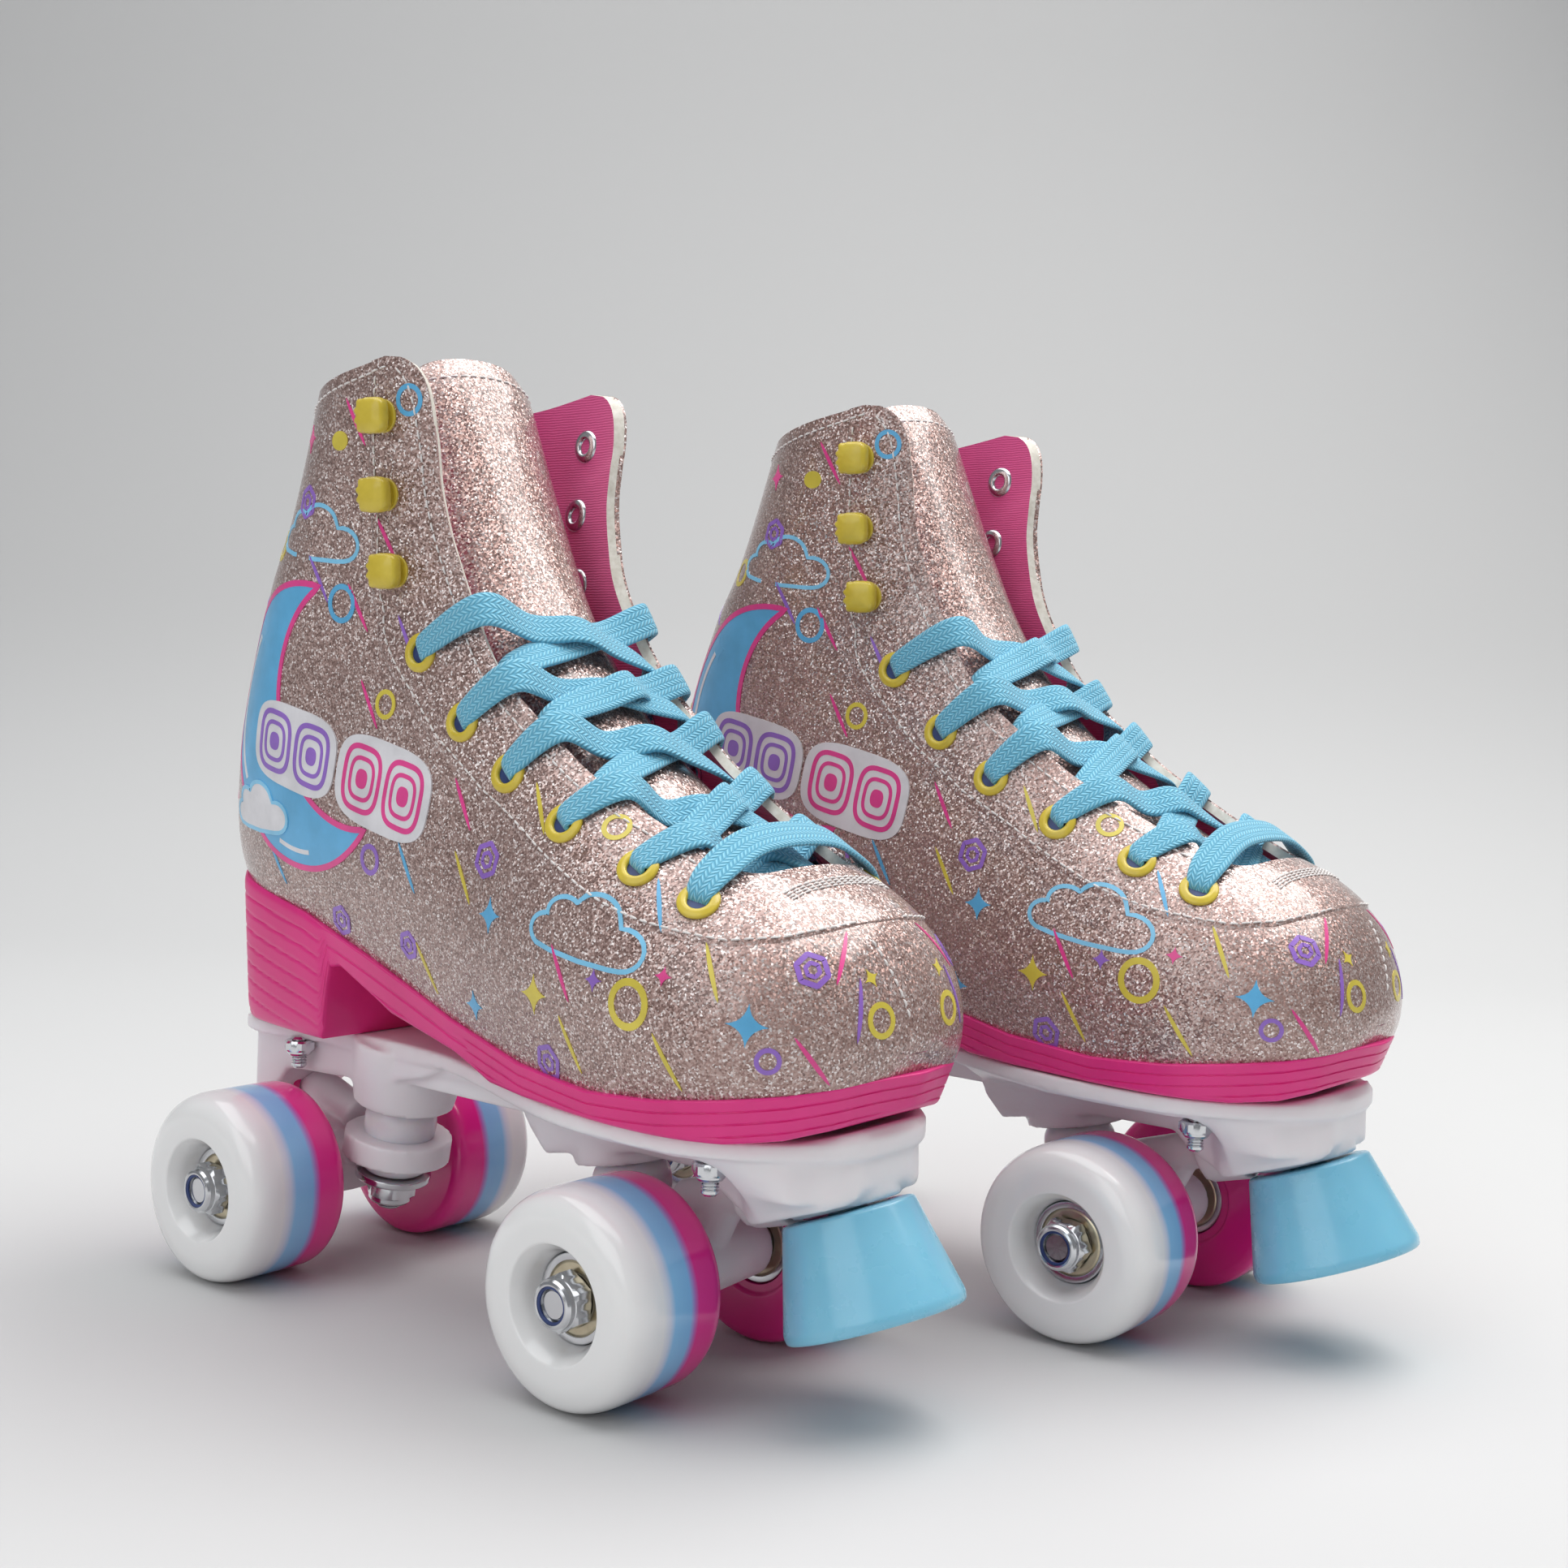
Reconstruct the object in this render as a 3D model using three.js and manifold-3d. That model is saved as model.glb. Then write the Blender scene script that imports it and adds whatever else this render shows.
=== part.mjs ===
// A pair of quad roller skates: laced glitter boots on nylon plates with steerable trucks.
// Millimetres. +X is towards the toes, +Y towards the wearer's left, +Z up, wheels on z = 0.
import * as THREE from 'three';
import { mergeVertices } from 'three/addons/utils/BufferGeometryUtils.js';
import Module from 'manifold-3d';

const wasm = await Module();
wasm.setup();

// ---- Driving dimensions -------------------------------------------------------------------
const GAP = 0.3;                  // clearance between touching pieces
const WHEELBASE = 141.6;
const WHEEL_RADIUS = 27;
const WHEEL_WIDTH = 32;
const WHEEL_SPACING = 41.9;       // inner wheel face to inner wheel face
const TRACK = WHEEL_SPACING + 2 * WHEEL_WIDTH;
const WHEEL_SIDES = 18;
const BEARING_RADIUS = 11;        // 608 ball bearing
const BEARING_WIDTH = 7;
const BEARING_DEPTH = 7.5;        // outer wheel face to outer bearing
const BEARING_INSET = 1.5;        // inner wheel face to inner bearing
const AXLE_RADIUS = 4;            // M8
const NUT_FLATS = 13;             // M8 nut across flats
const NUT_PROUD = 0.4;            // nut past the wheel's outer face
const RING_REACH = 23;            // axle line to steering ring, along X
const RING_HEIGHT = 36;           // ring centre above the floor
const RING_RADIUS = 15.7;
const RING_THICKNESS = 7.5;
const PIVOT_REACH = 21.2;         // axle line to pivot cup, along X
const PIVOT_HEIGHT = 49.5;
const KINGPIN_TILT = THREE.MathUtils.degToRad(10);
const CUSHION_RADIUS = 10.5;
const UPPER_CUSHION = 11;         // cushion lengths
const LOWER_CUSHION = 6.4;
const DECK_TOP = 70;
const DECK_THICKNESS = 4.5;
const STOP_RADIUS_TOP = 16.6;
const STOP_RADIUS_FOOT = 22.6;
const STOP_HEIGHT = 27.4;
const STOP_TILT = THREE.MathUtils.degToRad(21.3);
const STOP_REACH = 46.8;          // front axle to the middle of the stop's top face, along X
const STOP_TOP = 49.3;            // and that point's height
const WALL = 3;                   // upper with its lining
const TONGUE_THICKNESS = 3.5;
const LACE_WIDTH = 9.5;
const LACE_THICKNESS = 1.8;
const EYELET_RADIUS = 3.4;
const PAIR_OFFSET = [60.4, 128.2];

// ---- Materials ----------------------------------------------------------------------------
const paint = (color, roughness, metalness = 0) =>
  new THREE.MeshStandardMaterial({ color, roughness, metalness });
const GLITTER = paint(0xb99a93, 0.35, 0.3);
const NYLON = paint(0xece8ea, 0.45);
const PINK = paint(0xe0297f, 0.45);
const SKY = paint(0x6fc3df, 0.35);
const STEEL = paint(0xc4c6c8, 0.25, 1);
const BRASS = paint(0xb5a06a, 0.3, 1);
const WHEEL = paint(0xf4f2f2, 0.3);
const CUSHION = paint(0xdcd6da, 0.5);

// ---- Geometry helpers ---------------------------------------------------------------------
function welded(geometry) {
  const bare = geometry.clone();
  bare.deleteAttribute('normal');
  bare.deleteAttribute('uv');
  return mergeVertices(bare, 1e-4);
}

function toSolid(geometry) {
  const mesh = welded(geometry);
  const vertProperties = new Float32Array(mesh.attributes.position.array);
  const triVerts = new Uint32Array(mesh.index.array);
  const solid = new wasm.Manifold(new wasm.Mesh({ numProp: 3, vertProperties, triVerts }));
  if (solid.volume() > 0) return solid;
  for (let i = 0; i < triVerts.length; i += 3) {
    [triVerts[i], triVerts[i + 1]] = [triVerts[i + 1], triVerts[i]];
  }
  return new wasm.Manifold(new wasm.Mesh({ numProp: 3, vertProperties, triVerts }));
}

function toGeometry(solid) {
  const mesh = solid.getMesh();
  const geometry = new THREE.BufferGeometry();
  geometry.setAttribute('position', new THREE.BufferAttribute(mesh.vertProperties, 3));
  geometry.setIndex(new THREE.BufferAttribute(mesh.triVerts, 1));
  geometry.computeVertexNormals();
  return geometry;
}

const joined = (...geometries) =>
  toGeometry(geometries.map(toSolid).reduce((whole, next) => whole.add(next)));

const cut = (geometry, ...tools) =>
  toGeometry(tools.map(toSolid).reduce((whole, tool) => whole.subtract(tool), toSolid(geometry)));

// Solid of revolution about Y. The profile is a closed ring of [radius, y] pairs.
function turned(profile, sides, start = 0) {
  const ring = [...profile, profile[0]].map(([r, y]) => new THREE.Vector2(r, y));
  return toGeometry(toSolid(new THREE.LatheGeometry(ring, sides, start)));
}

const disc = (radius, low, high, sides, start = 0) =>
  turned([[0, low], [radius, low], [radius, high], [0, high]], sides, start);

// Side outline of [x, z] pairs, given a width along Y about the middle plane.
function plank(outline, halfWidth) {
  const shape = new THREE.Shape(outline.map(([x, z]) => new THREE.Vector2(x, z)));
  const slab = new THREE.ExtrudeGeometry(shape, { depth: 2 * halfWidth, bevelEnabled: false });
  return slab.rotateX(Math.PI / 2).translate(0, halfWidth, 0);
}

// Turns a piece made along Y to stand along the direction at this angle from +Z, tipped to +X.
const stand = (geometry, angle, x, z) =>
  geometry.rotateX(Math.PI / 2).rotateY(angle).translate(x, 0, z);

// Closed skin through equal rings of points, with flat ends.
function loft(rings) {
  const count = rings[0].length;
  const points = rings.flat();
  const faces = [];
  for (let i = 0; i + 1 < rings.length; i++) {
    for (let j = 0; j < count; j++) {
      const a = i * count + j;
      const b = i * count + ((j + 1) % count);
      faces.push(a, b, b + count, a, b + count, a + count);
    }
  }
  const last = (rings.length - 1) * count;
  for (let j = 0, k = count - 1; j + 1 < k;) {
    faces.push(j, k, j + 1, last + j, last + j + 1, last + k);
    j++;
    if (j + 1 > k - 1) break;
    faces.push(j, k, k - 1, last + j, last + k - 1, last + k);
    k--;
  }
  const geometry = new THREE.BufferGeometry().setFromPoints(points);
  geometry.setIndex(faces);
  return toGeometry(toSolid(geometry));
}

// ---- Boot form ----------------------------------------------------------------------------
// Sections of the last, from the toe, under the arch, round the heel and up to the collar.
// Each runs from a bottom (or back) point to a top (or front) point: x, z, x, z,
// half width at the widest, half width at the bottom, and sideways shift.
const SECTIONS = [
  [134.5, 84.5, 136.5, 96, 13, 10, 1],
  [131, 83, 133.5, 107, 24.5, 21, 0.5],
  [124, 81.5, 126, 119, 34, 30.5, -0.5],
  [112, 80, 113, 128, 42, 39, -1.5],
  [95, 78, 95, 136, 46, 43.5, -1.5],
  [73, 76.5, 75, 148, 46, 43, -1.5],
  [44, 78, 54, 166, 43.5, 38, -1],
  [12, 84, 43, 184, 40, 33, 0],
  [-22, 94.5, 36, 199, 38, 30, 0],
  [-55, 104.5, 31, 210, 36.5, 28.5, 0],
  [-85, 110, 28, 218, 36, 24, 0],
  [-105, 113.5, 27, 224, 36, 9, 0],
  [-109, 130, 26, 230, 36.5, 3, 0],
  [-103, 160, 25, 238, 37, 3, 0],
  [-92.5, 187, 24, 246, 38, 3, 0],
  [-81, 208, 23, 251, 39, 3, 0],
  [-66, 247, 21, 263, 40, 3, 0],
];
const FOOT_BELLY = 0.3;           // where along a section it is widest, in the foot
const SHAFT_BELLY = 0.45;         // and in the shaft
const FOOT_CROWN = 2.2;           // how square the top of a section is, in the foot
const SHAFT_CROWN = 3.1;          // and in the shaft

function sectionAt(u) {
  const i = Math.min(Math.floor(u), SECTIONS.length - 2);
  return SECTIONS[i].map((value, k) => value + (SECTIONS[i + 1][k] - value) * (u - i));
}

// 0 in the foot, 1 in the shaft.
const shaftShare = (u) => THREE.MathUtils.smoothstep(u, 6, 12);

// Half width at a share p of the way from the bottom to the top of a section.
function halfWidth(u, p, wide, foot) {
  const belly = THREE.MathUtils.lerp(FOOT_BELLY, SHAFT_BELLY, shaftShare(u));
  const crown = THREE.MathUtils.lerp(FOOT_CROWN, SHAFT_CROWN, shaftShare(u));
  if (p >= belly) {
    const rise = Math.min(1, (p - belly) / (1 - belly));
    return wide * (1 - rise ** crown) ** (1 / crown);
  }
  const share = foot / wide;
  const s = p / belly;
  const round = Math.sqrt(1 - (1 - s) ** 2);
  const lean = Math.sin((Math.PI / 2) * s);
  return wide * (share + (1 - share) * (share * lean + (1 - share) * round));
}

// Point on the boot: u picks the section, p the height in it, side is -1 or 1, inset goes inward.
function onBoot(u, p, side, inset = 0) {
  const [bx, bz, tx, tz, wide, foot, shift] = sectionAt(u);
  const length = Math.hypot(tx - bx, tz - bz);
  const q = (inset + p * (length - 2 * inset)) / length;
  const y = halfWidth(u, p, wide - inset, Math.max(1, foot - inset));
  return new THREE.Vector3(bx + q * (tx - bx), shift + side * y, bz + q * (tz - bz));
}

function bootRing(u, inset) {
  const ring = [];
  const heights = [0, 0.08, 0.28, 0.52, 0.74, 0.92];
  for (const p of heights) ring.push(onBoot(u, p, -1, inset));
  ring.push(onBoot(u, 1, 1, inset));
  for (const p of [...heights].reverse()) ring.push(onBoot(u, p, 1, inset));
  return ring;
}

const TOP = SECTIONS.length - 1;

function bootForm(inset, first, stretch) {
  const rings = [];
  for (let u = first; u < TOP; u = Math.floor(u) + 1) rings.push(bootRing(u, inset));
  const collar = bootRing(TOP, inset);
  rings.push(collar);
  if (stretch > 0) rings.push(collar.map((p) => p.clone().add(new THREE.Vector3(0, 0, stretch))));
  return loft(rings);
}

// Side outline of the throat: the flaps' front edges, the instep and the end of the vamp.
const THROAT = [
  [-12, 300], [-12, 262], [-3, 258], [1.5, 252], [1.6, 223], [6, 206], [12, 193.6], [20, 180.4],
  [28, 171.6], [46, 158], [57, 150.3], [80, 138.8], [92, 133.3], [101, 129.8], [106, 130.5],
  [108, 138], [108, 300],
];

// Eyelet rows from the top down: u, p of each eyelet and of the flap edge beside it.
const ROWS = [
  [9.45, 0.68, 0.785], [8, 0.65, 0.775], [6.95, 0.67, 0.81],
  [5.8, 0.73, 0.86], [4.77, 0.79, 0.9], [3.88, 0.81, 0.93],
];

function eyeletHole([u, p], side) {
  const out = onBoot(u, p, side, -4);
  const within = onBoot(u, p, side, 8);
  const length = out.distanceTo(within);
  const hole = disc(EYELET_RADIUS, 0, length, 6);
  const turn = new THREE.Quaternion().setFromUnitVectors(
    new THREE.Vector3(0, 1, 0), out.clone().sub(within).normalize());
  return hole.applyQuaternion(turn).translate(within.x, within.y, within.z);
}

function upper() {
  const holes = ROWS.flatMap((row) => [eyeletHole(row, -1), eyeletHole(row, 1)]);
  const crest = THROAT.filter(([x]) => x >= 57 && x <= 101).map(([x, z]) => [x, z - WALL]);
  const bed = plank([[57, 300], ...crest, [101, 300]], 13);
  return cut(bootForm(0, 0, 0), bootForm(WALL, 0.6, 8), plank(THROAT, 60), bed, ...holes);
}

// Tongue: middle line from the top to the vamp as x, z, half width and arch depth.
const TONGUE = [
  [-20, 262, 21, 8], [-15, 254, 25, 15], [-6, 234, 27, 20], [2, 216, 27, 20], [12, 197, 25.5, 19],
  [24, 180, 23.5, 16], [41, 163, 21, 13], [59, 150, 18, 10], [80, 137, 15, 8], [104, 125.5, 12, 5],
];

function tongueRing(i) {
  const [x, z, wide, arch] = TONGUE[i];
  const before = TONGUE[Math.max(i - 1, 0)];
  const after = TONGUE[Math.min(i + 1, TONGUE.length - 1)];
  const inward = new THREE.Vector3(after[1] - before[1], 0, before[0] - after[0]).normalize();
  const outer = [];
  const inner = [];
  for (let k = -3; k <= 3; k++) {
    const angle = (k / 3) * (Math.PI / 2) * 0.9;
    const y = wide * Math.sin(angle);
    const drop = arch * (1 - Math.cos(angle));
    outer.push(new THREE.Vector3(x, y, z).addScaledVector(inward, drop));
    const thin = (wide - TONGUE_THICKNESS) * Math.sin(angle);
    inner.push(new THREE.Vector3(x, thin, z).addScaledVector(inward, drop + TONGUE_THICKNESS));
  }
  return [...outer, ...inner.reverse()];
}

const tongue = () => loft(TONGUE.map((_, i) => tongueRing(i)));

// ---- Sole ---------------------------------------------------------------------------------
// Underside from heel to toe, as x and z. The top follows the boot's feather line.
const HEEL_BACK = -107.5;
const UNDERSIDE = [
  [HEEL_BACK, 86], [-105.5, 73], [-101, 70.3], [-51, 70.3], [-41, 94], [-31, 88], [-17, 82],
  [-3, 79], [12, 76], [28, 71], [44, 70.3], [112, 70.3], [124, 71], [131, 72.5], [136, 75],
];
const WELT = 2;                   // sole past the feather line
const SOLE_TAPER = 2;             // how much narrower the underside is

function between(table, x, column) {
  const i = Math.max(1, table.findIndex((row) => row[0] >= x));
  const [low, high] = [table[i - 1], table[i]];
  const share = THREE.MathUtils.clamp((x - low[0]) / (high[0] - low[0]), 0, 1);
  return THREE.MathUtils.lerp(low[column], high[column], share);
}

// Feather line from heel to toe: x, z, half width and shift of each section that touches the sole.
const HEEL_SECTION = 11;
const FEATHER = SECTIONS.slice(0, HEEL_SECTION + 1).reverse()
  .map(([x, z, , , , foot, shift]) => [x, z, foot, shift]);
FEATHER.unshift([HEEL_BACK, FEATHER[0][1], FEATHER[0][2] - 4, 0]);
FEATHER.push([136, 84.5, 3, 3]);

function outsole() {
  const stations = new Set([...FEATHER, ...UNDERSIDE].map((row) => row[0]));
  const rings = [...stations].sort((a, b) => a - b).map((x) => {
    const low = between(UNDERSIDE, x, 1);
    const top = between(FEATHER, x, 1) - GAP;
    const above = between(FEATHER, x, 2) + WELT;
    const below = above - SOLE_TAPER;
    const shift = between(FEATHER, x, 3);
    return [[-below, low], [-above, low + 3], [-above, top], [above, top], [above, low + 3],
      [below, low]].map(([y, z]) => new THREE.Vector3(x, shift + y, z));
  });
  return loft(rings);
}

// ---- Plate --------------------------------------------------------------------------------
// A truck is described about its axle: end is 1 for the front and -1 for the rear.
const ringX = (end) => end * (WHEELBASE / 2 - RING_REACH);
const pivotX = (end) => end * (WHEELBASE / 2 + PIVOT_REACH);
const STEER_ANGLE = Math.atan2(PIVOT_HEIGHT - RING_HEIGHT, RING_REACH + PIVOT_REACH);
const STEER_REACH = Math.hypot(PIVOT_HEIGHT - RING_HEIGHT, RING_REACH + PIVOT_REACH);
const RING_RECESS = RING_THICKNESS / 2 - 1.3;
const BOSS_FOOT = RING_RECESS - 1.3 + GAP + UPPER_CUSHION;

// Pieces made about a truck's kingpin (or its steering line) are turned into place with these.
const onKingpin = (piece, end) => stand(piece, -end * KINGPIN_TILT, ringX(end), RING_HEIGHT);
const onSteerLine = (piece, end) =>
  stand(piece, end * (Math.PI / 2 - STEER_ANGLE), ringX(end), RING_HEIGHT);

// Places along X, from the rear axle towards the heel and from the front axle towards the toe.
const behind = (reach) => -(WHEELBASE / 2 + reach);
const ahead = (reach) => WHEELBASE / 2 + reach;

// Plan of the deck, as x and half width from heel to toe.
const DECK = [
  [behind(27.2), 14], [behind(24.2), 18.5], [behind(15.2), 20.5], [behind(1.2), 18.5],
  [behind(-15.8), 15.5], [behind(-35.8), 14.5], [-10, 17], [12, 24], [ahead(-35.8), 33],
  [ahead(-15.8), 39.5], [ahead(2.2), 41.5], [ahead(24.2), 41], [ahead(39.2), 35],
  [ahead(49.2), 27], [ahead(56.2), 18], [ahead(59.2), 10],
];

function deck() {
  const side = (sign) => DECK.map(([x, y]) => new THREE.Vector2(x, sign * y));
  const shape = new THREE.Shape([...side(-1), ...side(1).reverse()]);
  const slab = new THREE.ExtrudeGeometry(shape, { depth: DECK_THICKNESS, bevelEnabled: false });
  return slab.translate(0, 0, DECK_TOP - DECK_THICKNESS);
}

const UNDER_DECK = DECK_TOP - DECK_THICKNESS / 2;
const REAR_BLOCK = [[behind(26.2), UNDER_DECK], [behind(26.7), 47], [behind(23.2), 44],
  [behind(15.2), 50], [behind(11.2), 55], [behind(-40.8), 56], [behind(-46.8), UNDER_DECK]];
const BEAM = [[behind(-38.8), UNDER_DECK], [behind(-38.8), 57], [ahead(-42.8), 57],
  [ahead(-42.8), UNDER_DECK]];
const FRONT_BLOCK = [[ahead(-47.8), UNDER_DECK], [ahead(-47.8), 49], [ahead(-42.8), 47],
  [ahead(-10.8), 55], [ahead(13.2), 55], [ahead(17.2), 51], [ahead(29.2), 44.5],
  [ahead(56.7), 55.5], [ahead(58.2), UNDER_DECK]];

function plate() {
  let body = joined(deck(), plank(REAR_BLOCK, 15), plank(BEAM, 12), plank(FRONT_BLOCK, 16));
  for (const end of [1, -1]) {
    const kingpinBoss = turned([[0, BOSS_FOOT], [14.5, BOSS_FOOT], [16, BOSS_FOOT + 2.5],
      [17.5, BOSS_FOOT + 19], [0, BOSS_FOOT + 19]], 12);
    const pivotBoss = disc(9.8, STEER_REACH - 5, STEER_REACH + 8, 10);
    body = joined(body, onKingpin(kingpinBoss, end), onSteerLine(pivotBoss, end));
  }
  const tools = [];
  for (const end of [1, -1]) {
    tools.push(onKingpin(disc(AXLE_RADIUS + GAP + 0.1, 0, 27.5, 8), end));
    tools.push(onSteerLine(disc(CUP_RADIUS + GAP, 30, STEER_REACH + 6 + GAP, 10), end));
  }
  const pad = disc(STOP_RADIUS_TOP + 1.5, -30, 0, 16);
  tools.push(stand(pad, -STOP_TILT, STOP_PLACE[0], STOP_PLACE[1] + GAP));
  tools.push(stand(disc(STEM_RADIUS + GAP + 0.5, -1, 13.5, 8), -STOP_TILT, ...STOP_PLACE));
  return cut(body, ...tools);
}

// ---- Toe stop -----------------------------------------------------------------------------
const STEM_RADIUS = 5;
const STOP_PLACE = [ahead(STOP_REACH), STOP_TOP];

function toeStop() {
  const profile = [[0, -STOP_HEIGHT], [STOP_RADIUS_FOOT - 2, -STOP_HEIGHT],
    [STOP_RADIUS_FOOT, 2 - STOP_HEIGHT], [STOP_RADIUS_TOP, 0], [STEM_RADIUS, 0],
    [STEM_RADIUS, 13], [0, 13]];
  return stand(turned(profile, 16), -STOP_TILT, ...STOP_PLACE);
}

// ---- Trucks -------------------------------------------------------------------------------
const CUP_RADIUS = 7;
const PIN_RADIUS = 3.5;
const INNER_FACE = WHEEL_SPACING / 2;
const WASHER_RADIUS = CUSHION_RADIUS + 0.5;

function pivotCup(end) {
  const rim = STEER_REACH - 4.5;
  const floor = STEER_REACH + 4;
  const bore = PIN_RADIUS + GAP + 0.1;
  const profile = [[0, floor], [bore, floor], [bore, rim], [CUP_RADIUS, rim],
    [CUP_RADIUS, floor + 2], [0, floor + 2]];
  return onSteerLine(turned(profile, 10), end);
}

function hanger(end) {
  const half = RING_THICKNESS / 2;
  const bore = AXLE_RADIUS + 2.5;
  const recess = CUSHION_RADIUS + 1.4;
  const floor = half - RING_RECESS;
  const ring = turned([[bore, -floor], [recess, -floor], [recess, -half], [RING_RADIUS, -half],
    [RING_RADIUS, half], [recess, half], [recess, floor], [bore, floor]], 14);
  const face = INNER_FACE - 0.6;
  const seat = INNER_FACE + BEARING_INSET - GAP;
  const housing = turned([[0, -seat], [6, -seat], [6, -face], [8, -face], [9, 0], [8, face],
    [6, face], [6, seat], [0, seat]], 12);
  const axleX = end * WHEELBASE / 2;
  const near = ringX(end) + end * (recess + 1.5);
  const yoke = plank([[near, RING_HEIGHT - 3], [near, RING_HEIGHT + 3], [axleX, WHEEL_RADIUS + 8],
    [axleX, WHEEL_RADIUS - 6]], 8.5);
  const pivotRoot = [pivotX(end) - end * 9, PIVOT_HEIGHT - 2.7];
  const arm = plank([[axleX - end * 6, WHEEL_RADIUS + 2], [axleX - end * 3, WHEEL_RADIUS + 9],
    [pivotRoot[0] - end * 2, pivotRoot[1] + 3], [pivotRoot[0] + end, pivotRoot[1] - 3.5],
    [axleX + end * 7, WHEEL_RADIUS]], 5);
  const pin = turned([[0, STEER_REACH - 13], [PIN_RADIUS + 1.5, STEER_REACH - 13],
    [PIN_RADIUS + 1.5, STEER_REACH - 6], [PIN_RADIUS, STEER_REACH - 5.5],
    [PIN_RADIUS, STEER_REACH + 1.5], [1.5, STEER_REACH + 3.4], [0, STEER_REACH + 3.4]], 8);
  housing.translate(axleX, 0, WHEEL_RADIUS);
  const body = joined(onKingpin(ring, end), housing, yoke, arm, onSteerLine(pin, end));
  const axleHole = disc(AXLE_RADIUS + GAP + 0.15, -40, 40, 8).translate(axleX, 0, WHEEL_RADIUS);
  const washerRoom = disc(WASHER_RADIUS + GAP, -30, -half - GAP, 12);
  return cut(body, axleHole, onKingpin(washerRoom, end));
}

function kingpin(end) {
  const washerTop = -(RING_THICKNESS / 2 - RING_RECESS) - GAP - LOWER_CUSHION - GAP;
  const washer = disc(WASHER_RADIUS, washerTop - 2.5, washerTop, 12);
  const nut = disc(NUT_FLATS / Math.sqrt(3), washerTop - 9.2, washerTop - 2, 6);
  const bolt = disc(AXLE_RADIUS, washerTop - 12.2, 27, 8);
  return onKingpin(joined(washer, nut, bolt), end);
}

function cushion(end, upperOne) {
  const floor = RING_THICKNESS / 2 - RING_RECESS + GAP;
  const bore = AXLE_RADIUS + GAP + 0.1;
  const wide = CUSHION_RADIUS;
  const low = upperOne ? floor : -floor - LOWER_CUSHION;
  const high = upperOne ? floor + UPPER_CUSHION - 2 * GAP : -floor;
  const foot = upperOne ? wide : wide - 1.2;
  return onKingpin(turned([[bore, low], [foot, low], [wide, high], [bore, high]], 12), end);
}

// ---- Wheels -------------------------------------------------------------------------------
// Profiles run from the wheel's outer face inwards, so y falls as the depth grows.
const atDepth = (depth) => TRACK / 2 - depth;

function wheel() {
  const flat = 1 / Math.cos(Math.PI / WHEEL_SIDES);
  const bore = BEARING_RADIUS + GAP;
  const rib = 9;
  const innerFloor = WHEEL_WIDTH - BEARING_INSET - BEARING_WIDTH - GAP;
  const outerFloor = BEARING_DEPTH + BEARING_WIDTH + GAP;
  const profile = [[14.7, 0], [21.3, 0], [25.3, 1.8], [WHEEL_RADIUS, 6],
    [WHEEL_RADIUS, WHEEL_WIDTH - 2.5], [WHEEL_RADIUS - 2.2, WHEEL_WIDTH], [bore, WHEEL_WIDTH],
    [bore, innerFloor], [rib, innerFloor], [rib, outerFloor], [bore, outerFloor],
    [bore, BEARING_DEPTH - 0.5]];
  return turned(profile.map(([r, d]) => [r * flat, atDepth(d)]), WHEEL_SIDES, Math.PI / WHEEL_SIDES);
}

function bearings() {
  const bore = AXLE_RADIUS + GAP + 0.15;
  const spacer = 6;
  const inner = WHEEL_WIDTH - BEARING_INSET;
  const profile = [[bore, BEARING_DEPTH], [BEARING_RADIUS, BEARING_DEPTH],
    [BEARING_RADIUS, BEARING_DEPTH + BEARING_WIDTH], [spacer, BEARING_DEPTH + BEARING_WIDTH],
    [spacer, inner - BEARING_WIDTH], [BEARING_RADIUS, inner - BEARING_WIDTH],
    [BEARING_RADIUS, inner], [bore, inner]];
  return turned(profile.map(([r, d]) => [r, atDepth(d)]), 10);
}

function axleNut() {
  const corner = NUT_FLATS / Math.sqrt(3);
  const bore = (AXLE_RADIUS + GAP) / Math.cos(Math.PI / 6);
  const profile = [[bore, -NUT_PROUD], [corner, -NUT_PROUD], [corner, BEARING_DEPTH - GAP],
    [bore, BEARING_DEPTH - GAP]];
  return turned(profile.map(([r, d]) => [r, atDepth(d)]), 6);
}

const axle = () => disc(AXLE_RADIUS, -atDepth(0.8), atDepth(0.8), 8);

// ---- Lace ---------------------------------------------------------------------------------
const LACE_LIFT = LACE_THICKNESS / 2 + 0.8;
const LACE_SINK = WALL + LACE_THICKNESS / 2 + 1.4;
const LACE_CLEAR = 2.4;           // lace over the tongue, where it crosses
const LACE_NARROW = 0.55;         // share of its width that it keeps in an eyelet

// The place over the tongue nearest to a point, at this height.
function overTongue(point, height) {
  let best = null;
  for (let i = 0; i + 1 < TONGUE.length; i++) {
    const low = new THREE.Vector3(TONGUE[i][0], 0, TONGUE[i][1]);
    const high = new THREE.Vector3(TONGUE[i + 1][0], 0, TONGUE[i + 1][1]);
    const line = new THREE.Line3(low, high);
    const share = line.closestPointToPointParameter(new THREE.Vector3(point.x, 0, point.z), true);
    const place = line.at(share, new THREE.Vector3());
    const gap = Math.hypot(place.x - point.x, place.z - point.z);
    if (best && gap >= best.gap) continue;
    const along = high.clone().sub(low).normalize();
    const [wide, arch] = [2, 3].map((k) => THREE.MathUtils.lerp(TONGUE[i][k], TONGUE[i + 1][k], share));
    const lean = Math.min(1, Math.abs(point.y) / wide);
    const drop = arch * (1 - Math.sqrt(1 - lean ** 2));
    place.addScaledVector(new THREE.Vector3(-along.z, 0, along.x), height - drop);
    best = { gap, place };
  }
  return best.place.setY(point.y);
}

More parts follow.
